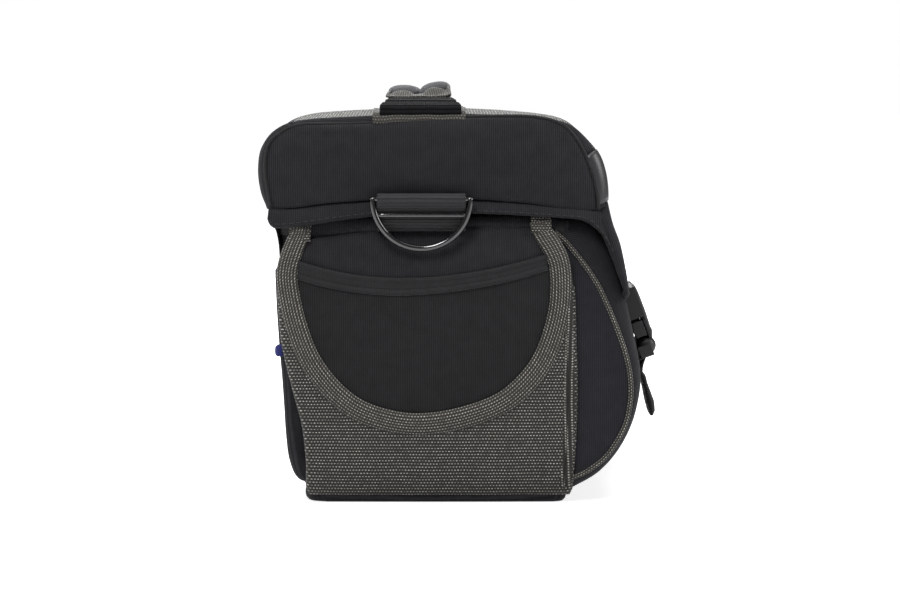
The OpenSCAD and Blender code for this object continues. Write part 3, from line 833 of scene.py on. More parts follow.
def end_hems(side, tag):
    """Stitched strips down the back (b) and front (f) edges of the woven panel."""
    for name, outline, inward in (("b", WOVEN_BACK, -1), ("f", WOVEN_FRONT, 1)):
        edge = resample(outline[outline[:, 1] < 110], 110)
        w = np.linspace(0, 1, 11)
        y = edge[:, :1] + inward * (0.5 + 4.6 * w)
        z = edge[:, 1:]
        out = (2.0 + 0.85 * (1 - np.abs(2 * w - 1) ** 2.6) - 0.55 * gauss((w - 0.62) / 0.09)
               - 2.4 * (1 - smooth(w / 0.3)) ** 2)
        grid = end_points(side, y, z, out - foot_draw(z))
        sheet(f"end_hem_{tag}_{name}", grid, WEAVE, 1.0, side=side * inward,
              uv=planar_uv(grid, 2, 1) * 1.15)
        stitches(f"end_hem_stitch_{tag}_{name}", grid[:, 7], (side, 0, 0), radius=0.18)


def pocket_binding(side, tag):
    """U-shaped binding round the opening, puffed across its width."""
    count = 150
    line = resample(MOUTH, count)
    normal = unit(np.gradient(line, axis=0))[:, ::-1] * [-1, 1]
    from_end = steps_from_end(count)
    width = 7.5 + 0.7 * np.sin(math.pi * np.linspace(0, 1, count))
    width *= 0.94 + 0.06 * smooth(from_end / 14)
    lift = 1.0 - 0.5 * smooth(1 - from_end / 10.0)
    w = np.linspace(0, 1, 11)
    out = ((2.3 + 1.25 * (1 - np.abs(2 * w - 1) ** 3.2)) * lift[:, None]
           + 0.12 * np.sin(np.arange(count) * 0.55)[:, None])
    across = w * width[:, None] - 0.5
    y, z = (line[:, i, None] + normal[:, i, None] * across for i in (0, 1))
    sheet(f"pocket_binding_{tag}_band", end_points(side, y, z, out), BAND_WEAVE, 1.2,
          side=-side, replaces=f"pocket_binding_{tag}")
    for name, reach in (("", width[:, None] - 1.9), ("in_", 1.0)):
        y, z = (line + normal * reach).T
        stitches(f"binding_stitch_{name}{tag}", end_points(side, y, z, 3.35), (side, 0, 0),
                 radius=0.2)


def pocket_tabs(side, tag):
    """Tabs running up under the lid from the binding's back (b) and front (f) ends."""
    for name, lean, y0, y1, z0, z1 in (("b", -1, 62.6, 53.2, 114.6, 123.2),
                                       ("f", 1, -51.4, -42.6, 118.6, 126.2)):
        y = np.linspace(y0, y1, 9)[:, None]
        z = np.linspace(z0, z1, 9)
        rise = z - z0
        out = 1.6 + 1.9 * (1 - smooth((rise - 1) / 8)) - 0.5 * (rise < 0.8)
        sheet(f"pocket_tab_{tag}_{name}", end_points(side, y + lean * 0.05 * rise, z, out),
              BAND_WEAVE, 1.0, side=side * lean)


def end_pocket(side, tag):
    """Stretch panel inside the binding, below the mouth."""
    start, stop = back_meet, front_meet
    y = np.linspace(mouth[start, 0], mouth[stop, 0], 61)
    top = points(y, hem_top(y) - 1.2)
    top[0], top[-1] = mouth[start], mouth[stop]
    patch = coons(top, resample(mouth[start:start + 31], 41),
                  resample(mouth[start + 30:stop - 29], 61),
                  resample(mouth[stop - 30:stop + 1][::-1], 41))
    y, z = patch[..., 0], patch[..., 1]
    u = np.linspace(0, 1, 61)[:, None]
    v = np.linspace(0, 1, 41)
    fade = dome(u, 0.55) * np.clip(1 - ((v - 0.15) / 0.85).clip(0) ** 3, 0, 1)
    wrinkle = creases(y, z, seed=11, height=0.30) * fade
    grid = end_points(side, y, z, 1.3 + 2.3 * fade + wrinkle)
    sheet(f"end_pocket_{tag}_skin", grid, POCKET_CLOTH, 1.0, side=-side, uv=planar_uv(grid),
          replaces=f"end_pocket_{tag}")


def pocket_hem(side, tag):
    """Band along the mouth, with a ridge at each edge."""
    y = np.linspace(mouth[back_meet, 0] - 0.3, mouth[front_meet, 0] + 0.3, 91)[:, None]
    w = np.linspace(0, 1, 15)
    depth = np.interp(y, [-52, -39, -14, 12, 37, 59], [5.9, 5.9, 5.8, 6.3, 6.5, 7.0])
    puff = 2.3 * dome(np.linspace(0, 1, 91)[:, None], 0.55)
    ridge = (0.75 * gauss((w - 0.06) / 0.09) + 0.65 * gauss((w - 0.9) / 0.1)
             - 0.5 * gauss((w - 0.76) / 0.06))
    grid = end_points(side, y, hem_top(y) - depth * w, 2.0 + puff + ridge)
    sheet(f"pocket_hem_{tag}_band", grid, EDGE_TAPE, 1.2, side=-side,
          uv=planar_uv(grid, 2, 1), replaces=f"pocket_hem_{tag}")
    seam = end_points(side, y, hem_top(y) - depth * 0.76, 1.75 + puff)[:, 0]
    stitches(f"hem_stitch_{tag}", seam, (side, 0, 0), radius=0.18)


def end_upper(side, tag):
    """Padded panel above the mouth."""
    y = np.linspace(54.5, -46.5, 71)
    top = np.interp(y, [-46.5, -20, 5, 30, 54.5], [120.0, 120.4, 119.6, 118.0, 114.6])
    v = np.linspace(0, 1, 17)
    z = top[:, None] * (1 - v) + (hem_top(y) - 4.5)[:, None] * v
    u = np.linspace(0, 1, 71)[:, None]
    y = (y_at(mouth[:50], z) + 1.6) * (1 - u) + (y_at(mouth[-50:], z) - 1.6) * u
    fade = dome(u, 0.4)
    crown = 4.0 * np.sin(math.pi * np.clip(v / 0.75, 0, 1) * 0.5) ** 0.7 * fade
    wrinkle = creases(y, z * 1.6, seed=5, height=0.32) * fade
    grid = end_points(side, y, z, -0.4 + crown + wrinkle)
    sheet(f"end_upper_{tag}_pad", grid, BODY, 1.2, side=-side, uv=planar_uv(grid),
          replaces=f"end_upper_{tag}")


# rolled rim of the end: out from the end plane, height
RIM_ROLL = [(-2.2, 114.5), (-0.2, 116.6), (0.7, 119.0), (0.85, 121.5), (0.3, 124.0),
            (-1.4, 125.9), (-4.2, 126.4), (-7.4, 125.2), (-8.2, 122.0)]


def end_rim(side, tag):
    """Rolled, padded rim behind the lid's hem."""
    y = np.linspace(59.5, -58.5, 80)[:, None]
    out, z = resample(spline(RIM_ROLL, 5), 24).T
    full = 0.35 + 0.65 * dome(np.linspace(0, 1, 80)[:, None], 0.35)
    grid = points(side * (HALF_X + out - 3.0 * (1 - full)), y,
                  118 + (z - 118) * (0.55 + 0.45 * full) + 0.3 * np.sin(y * 0.12))
    sheet(f"end_rim_{tag}_roll", grid, BODY, 1.0, side=-side)


def ring_loop(side, tag):
    """Webbing that rises from the end, over the D-ring's bar and down again."""
    radius = 2.15
    turn = np.radians(np.linspace(0, 200, 22))
    path = [(HALF_X + 0.6, 119.9), (HALF_X + 3.4, 119.9), (HALF_X + 5.6, 120.5),
            (HALF_X + 6.75, 122.4), (HALF_X + 6.9, 126)]
    path += list(points(RING_X - radius * np.cos(turn), RING_Z + radius * np.sin(turn)))
    path += [(RING_X + 1.2, 130.6), (RING_X - 0.4, 128.9), (RING_X - 1.3, 127.6)]
    x, z = resample(path, 90).T
    flat_strap(f"d_ring_loop_{tag}", points(side * x, LOOP_Y, z),
               strap_section(width=38.0, thick=1.25, radius=0.5, cuts=18), Y_AXIS, WEBBING,
               deepen=1 + np.abs(np.sin(np.arange(90) * 0.9)) * 0.10,
               replaces=f"d_ring_webbing_{tag}")


for side, tag in SIDES:
    for build in (end_lower, end_hems, pocket_binding, pocket_tabs, end_pocket, pocket_hem,
                  end_upper, end_rim, ring_loop):
        build(side, tag)

# ------------------------------------------------------------------ front pocket
ROUND_SHARE = 0.9        # share of the half length where the ends start to round
ROUND_DEPTH = 8.0
stations = np.r_[np.linspace(-1, -ROUND_SHARE, 14)[:-1],
                 np.linspace(-ROUND_SHARE, ROUND_SHARE, 50),
                 np.linspace(ROUND_SHARE, 1, 14)[1:]]
middle_line, end_line, trim_line = (resample(line, 64) for line in (POCKET, POCKET_END, TRIM))
v = np.linspace(0, 1, 64)
pocket = np.zeros((len(stations), 64, 3))
for i, station in enumerate(stations):
    share = abs(station)
    turn = np.clip((1 - share) / 0.1, 0, 1) * math.pi / 2
    # the raised shoulder starts nearer the end on the right
    start, run = (96, 9) if station < 0 else (108, 6)
    shoulder = smooth((share * HALF_X - start) / run)
    face = middle_line * (1 - shoulder) + end_line * shoulder
    outline = trim_line + (face - trim_line) * math.sin(turn)
    if share >= ROUND_SHARE:
        x = HALF_X - 0.2 - ROUND_DEPTH * (1 - math.cos(turn))
    else:
        x = (HALF_X - 8.2) * share / ROUND_SHARE
    puff = (1 - (x / HALF_X) ** 2) * np.sin(math.pi * v) ** 1.2 * 3.0
    pocket[i] = points(math.copysign(x, station), outline[:, 0] - puff, outline[:, 1])
wrinkle = creases(pocket[..., 0], pocket[..., 2] * 1.5, seed=21, height=0.4, shortest=20,
                  longest=70)
pocket[..., 1] += wrinkle * (1 - np.abs(stations)[:, None] ** 6) * smooth(v * 6)
sheet("front_pocket_skin", pocket, BODY, 1.4, side=-1, replaces="front_pocket_face")


def pocket_end(side, tag):
    """Gusset that closes the pocket's end, and the piping along its edge."""
    edge_y, z = resample(TRIM, 48).T[:, :, None]
    k = np.linspace(0, 1, 14)
    v = np.linspace(0, 1, 48)[:, None]
    dip = np.sin(math.pi * k) ** 0.8 * np.sin(math.pi * v) ** 0.5
    grid = points(side * (HALF_X - 0.6 - 1.6 * dip), -55.0 * (1 - k) + edge_y * k, z)
    sheet(f"front_gusset_{tag}_skin", grid, GUSSET, 1.0, side=side, uv=planar_uv(grid),
          replaces=f"front_gusset_{tag}")
    tube(f"front_trim_{tag}_piping", resample(points(side * (HALF_X + 0.3), *TRIM.T), 150),
         1.12, BAND_WEAVE, sides=14, replaces=f"front_trim_{tag}")


for side, tag in SIDES:
    pocket_end(side, tag)

# zip along the top of the pocket: woven tape with a coil in two halves
ZIP_Y = -65.4
ZIP_HALF = 97
COIL_PITCH = 1.5
y = np.linspace(-69.2, -61.6, 9)
sheet("zip_tape_cloth",
      points(np.linspace(-100, 100, 60)[:, None], y, 117.45 - 0.35 * np.cos((y - ZIP_Y) * 1.1)),
      ZIP_TAPE, 0.6, replaces="zip_tape")
x = np.arange(-ZIP_HALF, ZIP_HALF, 0.25)
turn = x * 2 * math.pi / COIL_PITCH
coil = points(x, ZIP_Y + 1.1 * np.cos(turn), 117.55 + 0.36 * np.sin(turn))
for name, x0, x1 in (("a", -ZIP_HALF, 0), ("b", 0, ZIP_HALF)):
    tube(f"zip_coil_{name}", coil[(x >= x0) & (x <= x1 + 0.3)], 0.22, METAL, sides=5,
         slot="webbing")
for node in ("zip_slider", "zip_pull"):
    register(softened(node + "_cast", node, METAL, 0.25), body=node, replaces=node)

# ------------------------------------------------------------------ back pocket, tag, hinge
BACK_POCKET = spline([(68.7, 103.0), (69.1, 101.4), (69.0, 99.5), (68.7, 92), (68.2, 82.7),
                      (67.2, 68), (66.1, 54), (65.4, 42), (64.8, 31), (63.7, 20.5),
                      (62.0, 14.5), (59.8, 9.0)])
POCKET_STITCH_Z = 95.5
CORNER_X = np.array([115.6, 115.3, 114.8, 114.0, 113.0, 112.0, 110.8])


def back_slack(x, z):
    """Soft swell of the back pocket."""
    return 0.9 * (1 - (x / HALF_X) ** 2) + 0.25 * np.sin(x * 0.06) * np.sin(z * 0.07)


x = np.r_[-CORNER_X, np.linspace(-108, 108, 50), CORNER_X[::-1]][:, None]
z = np.r_[np.linspace(101.8, 16, 26), [13.5, 12.0, 10.8, 9.9, 9.3, 9.0]]
box_corner = 9.0 - np.sqrt(81.0 - np.maximum(0.0, np.abs(x) - 107.1) ** 2)
on_box = y_at(BACK, z) - box_corner + 0.25
fade = quarter((np.abs(x) - 110.6) / 5.0) * quarter((14.0 - z) / 5.0)
back_pocket = points(x, on_box + (y_at(BACK_POCKET, z) - on_box + back_slack(x, z)) * fade, z)
sheet("back_pocket_skin", back_pocket, BODY, 1.0, uv=planar_uv(back_pocket, 0, 2),
      replaces="back_pocket")
x = np.linspace(-HALF_X + 12, HALF_X - 12, 80)
stitch_y = y_at(BACK_POCKET, POCKET_STITCH_Z) + 0.15 + back_slack(x, POCKET_STITCH_Z)
stitches("back_pocket_stitch", points(x, stitch_y, POCKET_STITCH_Z), (0, 1, 0))
pillow("side_tag_fold", (-HALF_X + 3.6, 66.9, 66.8), (5.2, 3.6, 5.2), TAG, radius=1.2,
       bulge=(0.3, 0.5, 0), cuts=8, replaces="side_tag")
HINGE = spline([(66.9, 105), (67.3, 113), (68.6, 119.5), (70.6, 122.6), (71.2, 125.6),
                (71.3, 129)])
hinge = sheet("hinge_cloth",
              points(np.linspace(-HALF_X + 4, HALF_X - 4, 50)[:, None], *resample(HINGE, 20).T),
              BODY, 0.9, side=-1, body=None, replaces="hinge_band")
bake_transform(hinge)

# ------------------------------------------------------------------ lid
LID_HALF = 119.0         # half length of the lid at its end seams
LID_ROUND = 6.0          # run of its rounded ends
LID_COUNT = 110          # points round the lid's profile
seam_line = resample(SEAM, LID_COUNT)
lid_line = resample(LID[LID[:, 1] > 128.6], LID_COUNT)

turn = np.linspace(0, math.pi / 2, 12)[:-1]
round_x = LID_HALF - LID_ROUND * (1 - np.cos(turn))
flat_half = LID_HALF - LID_ROUND
lid_x = np.r_[-round_x, np.linspace(-flat_half, flat_half, 46), round_x[::-1]][:, None]
fullness = np.r_[np.sin(turn), np.ones(46), np.sin(turn[::-1])][:, None, None]
outline = seam_line + (lid_line - seam_line) * fullness
lid = points(lid_x, outline[..., 0], outline[..., 1])
normals = grid_normals(lid)
normals *= np.sign(normals[..., 1] * outline[..., 0]
                   + normals[..., 2] * (outline[..., 1] - 120))[..., None]
reach = np.abs(lid_x) / LID_HALF
v = np.linspace(0, 1, LID_COUNT)
puff = (1 - reach ** 3) * (0.5 * np.sin(math.pi * v) ** 0.7)
swell = 0.25 * np.sin(lid_x * 0.05) * np.sin(v * 14) * (1 - reach ** 4)
lid += normals * (puff + swell)[..., None]
lid_uv = arc_uv(lid)
# the top sinks towards its ends, then a little all over
sink = smooth((lid[..., 2] - 150) / 16) * smooth((np.abs(lid_x) - 35) / 78)
lid[..., 2] -= 2.3 * sink * (1 - smooth((np.abs(lid_x) - flat_half) / LID_ROUND))
lid[..., 2] -= 0.5 * smooth((lid[..., 2] - 160) / 8)
wrinkle = creases(lid[..., 0], lid_uv[..., 1], seed=41, height=0.28, shortest=24, longest=80)
wrinkle = wrinkle * (1 - reach ** 6) * smooth(steps_from_end(LID_COUNT) / 8)
lid += normals * wrinkle[..., None]

# the shell is cut into back, woven crown with plain ends, and front
crown_back, crown_front = (
    int(np.argmin(np.abs(lid_line[:, 0] - y) + np.abs(lid_line[:, 1] - z)))
    for y, z in ((63, 167), (-70.4, 155)))
crown_left, crown_right = 8, len(lid_x) - 8
over_crown = slice(crown_back, crown_front + 1)
for name, along, around, material, replaces in (
        ("lid_back_skin", slice(None), slice(crown_back + 1), BODY, "lid_back"),
        ("lid_crown_weave", slice(crown_left - 1, crown_right + 1), over_crown, WEAVE,
         "lid_top"),
        ("lid_edge_left", slice(crown_left), over_crown, BODY, ""),
        ("lid_edge_right", slice(crown_right, None), over_crown, BODY, ""),
        ("lid_front_skin", slice(None), slice(crown_front, None), BODY, "lid_front")):
    sheet(name, lid[along, around], material, 1.4, side=-1, uv=lid_uv[along, around],
          body="lid", replaces=replaces)

# lower edge of the lid's end panel, and both edges of the hem below it, front to back
LID_END_FOOT = spline([(-71.6, 128.6), (-60, 128.4), (-40, 131.5), (-10, 133.4), (20, 133.0),
                       (45, 131.4), (60, 129.4), (70.2, 128.8)])
LID_HEM_TOP = spline([(-81.7, 101.5), (-80.6, 106), (-79.0, 111.5), (-77.0, 117),
                      (-75.4, 122.6), (-73.4, 127.4), (-69.0, 129.3), (-62, 129.6),
                      (-55, 130.2), (-40, 131.9), (-10, 133.5), (20, 133.2), (45, 131.6),
                      (60, 129.6), (71.2, 129.2)])
LID_HEM_FOOT = spline([(-81.2, 100.5), (-79.9, 105.0), (-77.6, 110.4), (-74.4, 115.8),
                       (-70.4, 120.2), (-64.5, 123.9), (-56, 125.0), (-46, 125.6),
                       (-25, 126.7), (0, 126.8), (20, 126.2), (40, 124.0), (55, 121.6),
                       (66, 120.5), (69.6, 121.0), (71.3, 123.4)])


def lid_end(side, tag):
    """Padded end panel of the lid, and the cord in its seam."""
    up = resample(SEAM_61, 61)
    patch = coons(resample(up[13:49], 61), resample(up[:14][::-1], 31),
                  resample(LID_END_FOOT, 61)[::-1], resample(up[48:], 31))
    y, z = patch[..., 0], patch[..., 1]
    u = np.linspace(0, 1, 61)[:, None]
    v = np.linspace(0, 1, 31)
    fade = dome(u, 0.45) * dome(v * 0.94, 0.42)
    wrinkle = creases(y, z * 1.3, seed=31, height=0.62, shortest=14, longest=60)
    out = 118.8 + (4.7 + 0.12 * np.sin(y * 0.11 + 1.0) + wrinkle) * fade
    # a slack crease below the front corner, and one at the back
    crease_y = -51.5 - 6.9 * (170 - z) / 17
    out = out - 0.9 * gauss((y - crease_y) / 1.7) * smooth((z - 147) / 10) * fade
    out = out - (0.6 * gauss((z - 158.5 - 0.05 * y) / 1.6) * smooth((y - 22) / 18)) * fade
    # puckers along the top and bottom seams
    k = np.arange(61)[:, None]
    out = out + 0.22 * np.sin(k * 1.25) * np.exp(-v / 0.09) * fade
    out = out + 0.16 * np.sin(k * 1.7) * np.exp(-(1 - v) / 0.1) * fade
    grid = points(side * out, y, z)
    sheet(f"lid_end_{tag}_skin", grid, BODY, 1.3, side=side, uv=planar_uv(grid), body="lid",
          replaces=f"lid_end_{tag}")
    tube(f"lid_cord_{tag}", points(side * 119.2, *seam_line.T), 0.75, EDGE_TAPE, sides=8,
         body="lid")


SEAM_61 = seam_line      # the end panel is drawn from the resampled seam


def lid_hem(side, tag):
    """Hem below the end panel, standing out a little, its lower edge rolled."""
    upper, lower = (resample(line[::-1], 91) for line in (LID_HEM_TOP, LID_HEM_FOOT))
    w = np.linspace(0, 1, 15)
    out = np.interp(w, [0, 0.06, 0.16, 0.3, 0.6, 0.85, 0.95, 1.0],
                    [118.9, 119.6, 120.4, 121.0, 121.6, 122.0, 121.7, 120.9])

    def front_fall(y):
        return 1.5 * smooth((-y - 58) / 14) + 1.6 * smooth((-y - 73) / 8)

    y, z = (upper[:, i, None] * (1 - w) + lower[:, i, None] * w for i in (0, 1))
    grid = points(side * (out - front_fall(y) + 0.1 * np.sin(y * 0.17)), y, z)
    sheet(f"lid_hem_{tag}_band", grid, BODY, 1.5, side=side, uv=planar_uv(grid), body="lid",
          replaces=f"lid_hem_{tag}")
    stitch_at = 0.78
    y, z = (upper * (1 - stitch_at) + lower * stitch_at).T
    line = points(side * (np.interp(stitch_at, w, out) - front_fall(y)), y, z)
    stitches(f"lid_hem_stitch_{tag}0", line, (side, 0, 0), radius=0.16, body="lid")


for side, tag in SIDES:
    lid_end(side, tag)
    lid_hem(side, tag)

pillow("lid_lining", (0, -1.0, 160.6), (230, 118, 5.0), LINING, radius=2.2,
       bulge=(0, 0, 1.0), cuts=22, body="lid", replaces="lid_foam")

# coated patch round the front of the lid, and a blank plate in its middle
patch = lid[:, crown_front:LID_COUNT - 1]
edge = smooth(steps_from_end(patch.shape[1]) / 3.0)
patch = patch + front_normals(patch) * (0.45 + 0.25 * edge)[:, None]
sheet("lid_overlay_patch", patch, COATED, 0.8, side=-1, body="lid", replaces="lid_overlay")
plate = lid[np.abs(lid_x[:, 0]) < 104][:, crown_front - 1:LID_COUNT - 2]
edge_u, edge_v = (smooth(steps_from_end(count) / 2.0) for count in plate.shape[:2])
swell = 0.10 * np.sin(plate[..., 0] * 0.19 + plate[..., 2] * 0.07)
plate = plate + front_normals(plate) * (0.50 + 0.45 * edge_u[:, None] * edge_v
                                        + swell)[..., None]
sheet("lid_overlay_plate", plate, COATED, 1.0, side=-1, body="lid")
for name, row in (("top", plate[2:-2, 2]), ("low", plate[2:-2, -3]),
                  ("a", plate[2, 2:-2]), ("b", plate[-3, 2:-2])):
    stitches(f"overlay_stitch_{name}", row + np.array([0, -0.12, 0.0]), (0, -0.95, 0.3),
             radius=0.2, body="lid")

# front flap: hangs from the lid's front, its side edges turned back and its foot rolled
FLAP_TOP = 131.6
FLAT_SHARE = 0.87        # share of the stations before the side edge turns
a = np.linspace(-1, 1, 141)[:, None]
t = np.linspace(0, 1, 38)
edge = np.maximum(0.0, (np.abs(a) - FLAT_SHARE) / 0.13)
turn = np.minimum(edge / 0.62, 1.0) * math.pi / 2
straight = np.maximum(0.0, (edge - 0.62) / 0.38)
reach = (116.2 * np.minimum(np.abs(a) / FLAT_SHARE, 1.0) + 3.5 * np.sin(turn)
         - 0.9 * straight)
turn_back = (3.5 * (1 - np.cos(turn)) + 2.7 * straight) / 6.2
foot_z = 86 + 4.6 * np.maximum(0.0, (reach - 46) / 74) ** 3 + 1.2 * turn_back ** 2
z = FLAP_TOP + (foot_z - FLAP_TOP) * t
back = turn_back * np.interp(z, [88, 91, 95, 100, 107, 113.5, 120, 128],
                             [1.3, 2.0, 2.9, 4.0, 5.2, 6.4, 7.0, 7.2])
puff = (0.6 * np.sin(math.pi * t) * (1 - np.minimum(reach / 121, 1) ** 4)
        + 2.2 * np.maximum(1 - (reach / 117) ** 2, 0) * smooth(t * 1.3)
        + 0.5 * smooth((reach - 100) / 14) * smooth((125 - z) / 12))
roll = 1.3 * smooth((t - 0.94) / 0.06) ** 2
narrow = 0.25 * roll + 2.2 * smooth((z - 124.0) / 4.5) + 0.9 * smooth((97 - z) / 9)
flap = points(np.copysign(reach - narrow * np.minimum(edge * 2, 1), a),
              y_at(FLAP, z) - puff + back + roll, z)
sheet("lid_flap_skin", flap, BODY, 2.6, side=-1, body="lid", replaces="lid_flap")
normals = front_normals(flap)
keep = reach[:, 0] < 113
for name, column in (("", 35), ("_b", 33)):
    normal = normals[keep, column]
    stitches("lid_flap_stitch" + name, flap[keep, column] + normal * 0.1, normal, radius=0.2,
             body="lid")

# ------------------------------------------------------------------ handle
# (X, Z) on the right side: strip on the lid's edge, and the webbing that folds over it
ANCHOR = spline([(120.0, 166.4), (120.5, 167.5), (120.3, 168.9), (118.6, 170.2),
                 (113.0, 171.0), (104.0, 171.6), (98.0, 171.9)])
HANDLE_PATH = spline([(104, 170.9), (112, 170.2), (116.6, 169.2), (119.4, 169.0),
                      (120.3, 170.0), (120.3, 171.8), (119.2, 173.0), (116.4, 173.6),
                      (112.6, 174.4), (109.0, 175.2), (104, 175.6), (98, 176.0), (90, 176.0),
                      (70, 176.0), (40, 176.1), (0.0, 176.2)], 10)
# (Y, Z) across the cradle under the grip
CRADLE = spline([(19.4, 179.6), (18.9, 178.4), (16.6, 177.9), (12.5, 177.7), (6.6, 178.3),
                 (0.8, 178.2), (-3.2, 179.2), (-5.6, 180.6), (-6.1, 182.0)])


def handle_anchor(side, tag):
    """Woven strip along the lid's edge under the handle's end."""
    x, z = resample(ANCHOR, 26).T
    y = np.linspace(LOOP_Y - 19.0, LOOP_Y + 21.0, 21)[:, None]
    z = z - 0.5 * smooth((y - LOOP_Y - 5) / 16) + 0.15 * np.sin(y * 0.5)
    sheet(f"handle_anchor_{tag}_patch", points(side * x, y, z), ANCHOR_WEAVE, 0.9, side=-side,
          body="lid", replaces=f"handle_anchor_{tag}")


def handle_strap(side, tag):
    """Webbing that stands up at the lid's edge, folds over and runs back to the middle."""
    count, width = 220, 36.0
    x, z = resample(HANDLE_PATH, count).T
    folded = (x < 117) & (x > 98) & (z > 173)
    ripple = np.where(folded, 0.3 * np.sin((117 - x) * 2 * math.pi / 5.4), 0)
    widths = np.interp(x, [0, 60, 84, 100, 112, 118, 121],
                       [25.2, 25.2, 26.0, 27.6, 31.4, 35.0, 35.4])
    section = strap_section(36, thick=1.7, radius=0.6, cuts=20)
    sag = -0.81 * (1 - (section[:, 1] / 18) ** 2)
    # the strap wears the darker copy of the webbing, which is painted shade
    strap = flat_strap(f"handle_strap_{tag}", points(side * x, LOOP_Y + 0.4, z + ripple),
                       section, Y_AXIS, SHADED_WEBBING, widen=widths / width,
                       lift=sag * smooth((np.arange(count) - 60) / 40.0)[:, None],
                       body=None, replaces="handle_webbing" if side < 0 else "")
    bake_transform(strap)


def handle_cradle(side, tag):
    """Woven cradle under the grip, its edges turned up round the lobes."""
    across, height = resample(CRADLE, 41).T
    x = np.r_[np.linspace(93.5, 79.6, 20), [79.0, 78.2, 77.2, 76.2, 75.0, 73.5],
              np.linspace(71, 0.0, 18)][:, None]
    grow = smooth((94 - x) / 17)
    y = 6.8 + (across - 6.8) * (1.08 - 0.08 * grow)
    # two humps just past the grip's end
    hump = np.where(x > 79.5, smooth((91 - x) / 10.5), smooth((x - 75.6) / 3.6))
    hump = hump * (3.0 * np.clip(1 - ((y - 13.9) / 6.2) ** 2, 0, 1) ** 0.7
                   + 4.3 * np.clip(1 - ((y + 0.7) / 6.5) ** 2, 0, 1) ** 0.7)
    rise = (height - 177.5) * (0.25 + 0.75 * grow) + 0.5
    z = 177.3 - 0.3 * (1 - grow) + np.maximum(rise, hump)
    sheet(f"handle_cradle_{tag}", points(side * x, y, z), ANCHOR_WEAVE, 1.0, side=side,
          body="handle")


for side, tag in SIDES:
    for build in (handle_anchor, handle_strap, handle_cradle):
        build(side, tag)

# grip: two padded lobes lying side by side, meeting in a V
turn = np.linspace(0, math.pi / 2, 12)
cap_x = 78.5 - 9 * (1 - np.cos(turn))
x = np.concatenate([-cap_x, np.linspace(-66, 66, 48), cap_x[::-1]])[:, None]
angle = 2 * math.pi * np.arange(32) / 32
cos, sin = np.cos(angle), np.sin(angle)
taper = np.sqrt(np.maximum(0.03, 1 - np.maximum(0.0, (np.abs(x) - 69.5) / 9.1) ** 2))
pinch = 1.0 + 0.03 * np.sin(x * 0.21 + 2 * angle) + 0.02 * np.sin(x * 0.09)
for name, centre_y, centre_z, half_width, half_height, tilt, replaces in (
        ("back", 13.6, 179.5, 6.9, 3.4, 0.02, "handle_grip"),
        ("front", -0.4, 180.3, 6.8, 4.0, -0.16, "")):
    y = half_width * np.copysign(np.abs(cos) ** 0.9, cos)
    z = half_height * np.copysign(np.abs(sin) ** np.where(sin > 0, 0.9, 0.7), sin)
    z = np.where(z > -1.9, z, -1.9 + 0.2 * (z + 1.9))    # flattened underneath
    rings = points(x, centre_y + y * (0.55 + 0.45 * taper) * pinch,
                   centre_z - 0.6 + (z + tilt * y) * taper * pinch
                   + 0.6 * np.cos(x / 78 * 1.4))
    loft(f"handle_lobe_{name}", rings, points(x, np.linspace(0, 34, 32)), GRIP, body="handle",
         replaces=replaces)

# ------------------------------------------------------------------ D-rings
BOW_RADIUS = 20.9
CROSS_Z = 126.4
turn = np.radians(np.linspace(180, 360, 90))
bow_y = np.r_[-BOW_RADIUS, BOW_RADIUS * np.cos(turn), BOW_RADIUS]
bow_z = np.r_[134.0, RING_Z + BOW_RADIUS * np.sin(turn), 134.0]
cross_half = math.sqrt(BOW_RADIUS ** 2 - (RING_Z - CROSS_Z) ** 2)
for side, tag in SIDES:
    ring = f"d_ring_{tag}"
    tube(ring + "_bow", points(side * RING_X, LOOP_Y + bow_y, bow_z), 1.42, RING, sides=20,
         body=ring, replaces=ring)
    for name, half, z, radius in (("_bar", 21.6, 133.3, 1.2),
                                  ("_cross", cross_half, CROSS_Z, 1.05)):
        path = points(side * RING_X, LOOP_Y + np.linspace(-half, half, 12), z)
        tube(ring + name, path, radius, RING, sides=16, body=ring)

# ------------------------------------------------------------------ buckle
BUCKLE_Y, BUCKLE_Z = -95, 73
TILT_COS, TILT_SIN = math.cos(math.radians(20)), math.sin(math.radians(20))


def buckle_point(x, y, z):
    """A point given in the buckle's own tilted frame."""
    return points(x, BUCKLE_Y + y * TILT_COS + z * TILT_SIN,
                  BUCKLE_Z - y * TILT_SIN + z * TILT_COS)


def shorten_insert(mesh):
    """Makes the insert's lower end short and slim."""
    flat = np.empty(len(mesh.vertices) * 3)
    mesh.vertices.foreach_get("co", flat)
    x, y, z = flat.reshape(-1, 3).T / MM
    dy, dz = y - BUCKLE_Y, z - BUCKLE_Z
    y = dy * TILT_COS - dz * TILT_SIN
    z = dy * TILT_SIN + dz * TILT_COS
    z = np.where(z < -16.6, -16.6 + (z + 16.6) * 0.36, z)
    y = np.where(z < -14.3, 0.4 + (y - 0.4) * 0.8, y)
    mesh.vertices.foreach_set("co", (buckle_point(x, y, z) * MM).ravel())
    mesh.update()


for node in ("buckle_receptacle", "buckle_insert", "prong_left", "prong_right"):
    part = softened(node + "_moulded", node, BUCKLE, 0.7)
    if node == "buckle_insert":
        shorten_insert(part.data)
    register(part, body=node_body(node), replaces=node)
insert_body = node_body("buckle_insert")

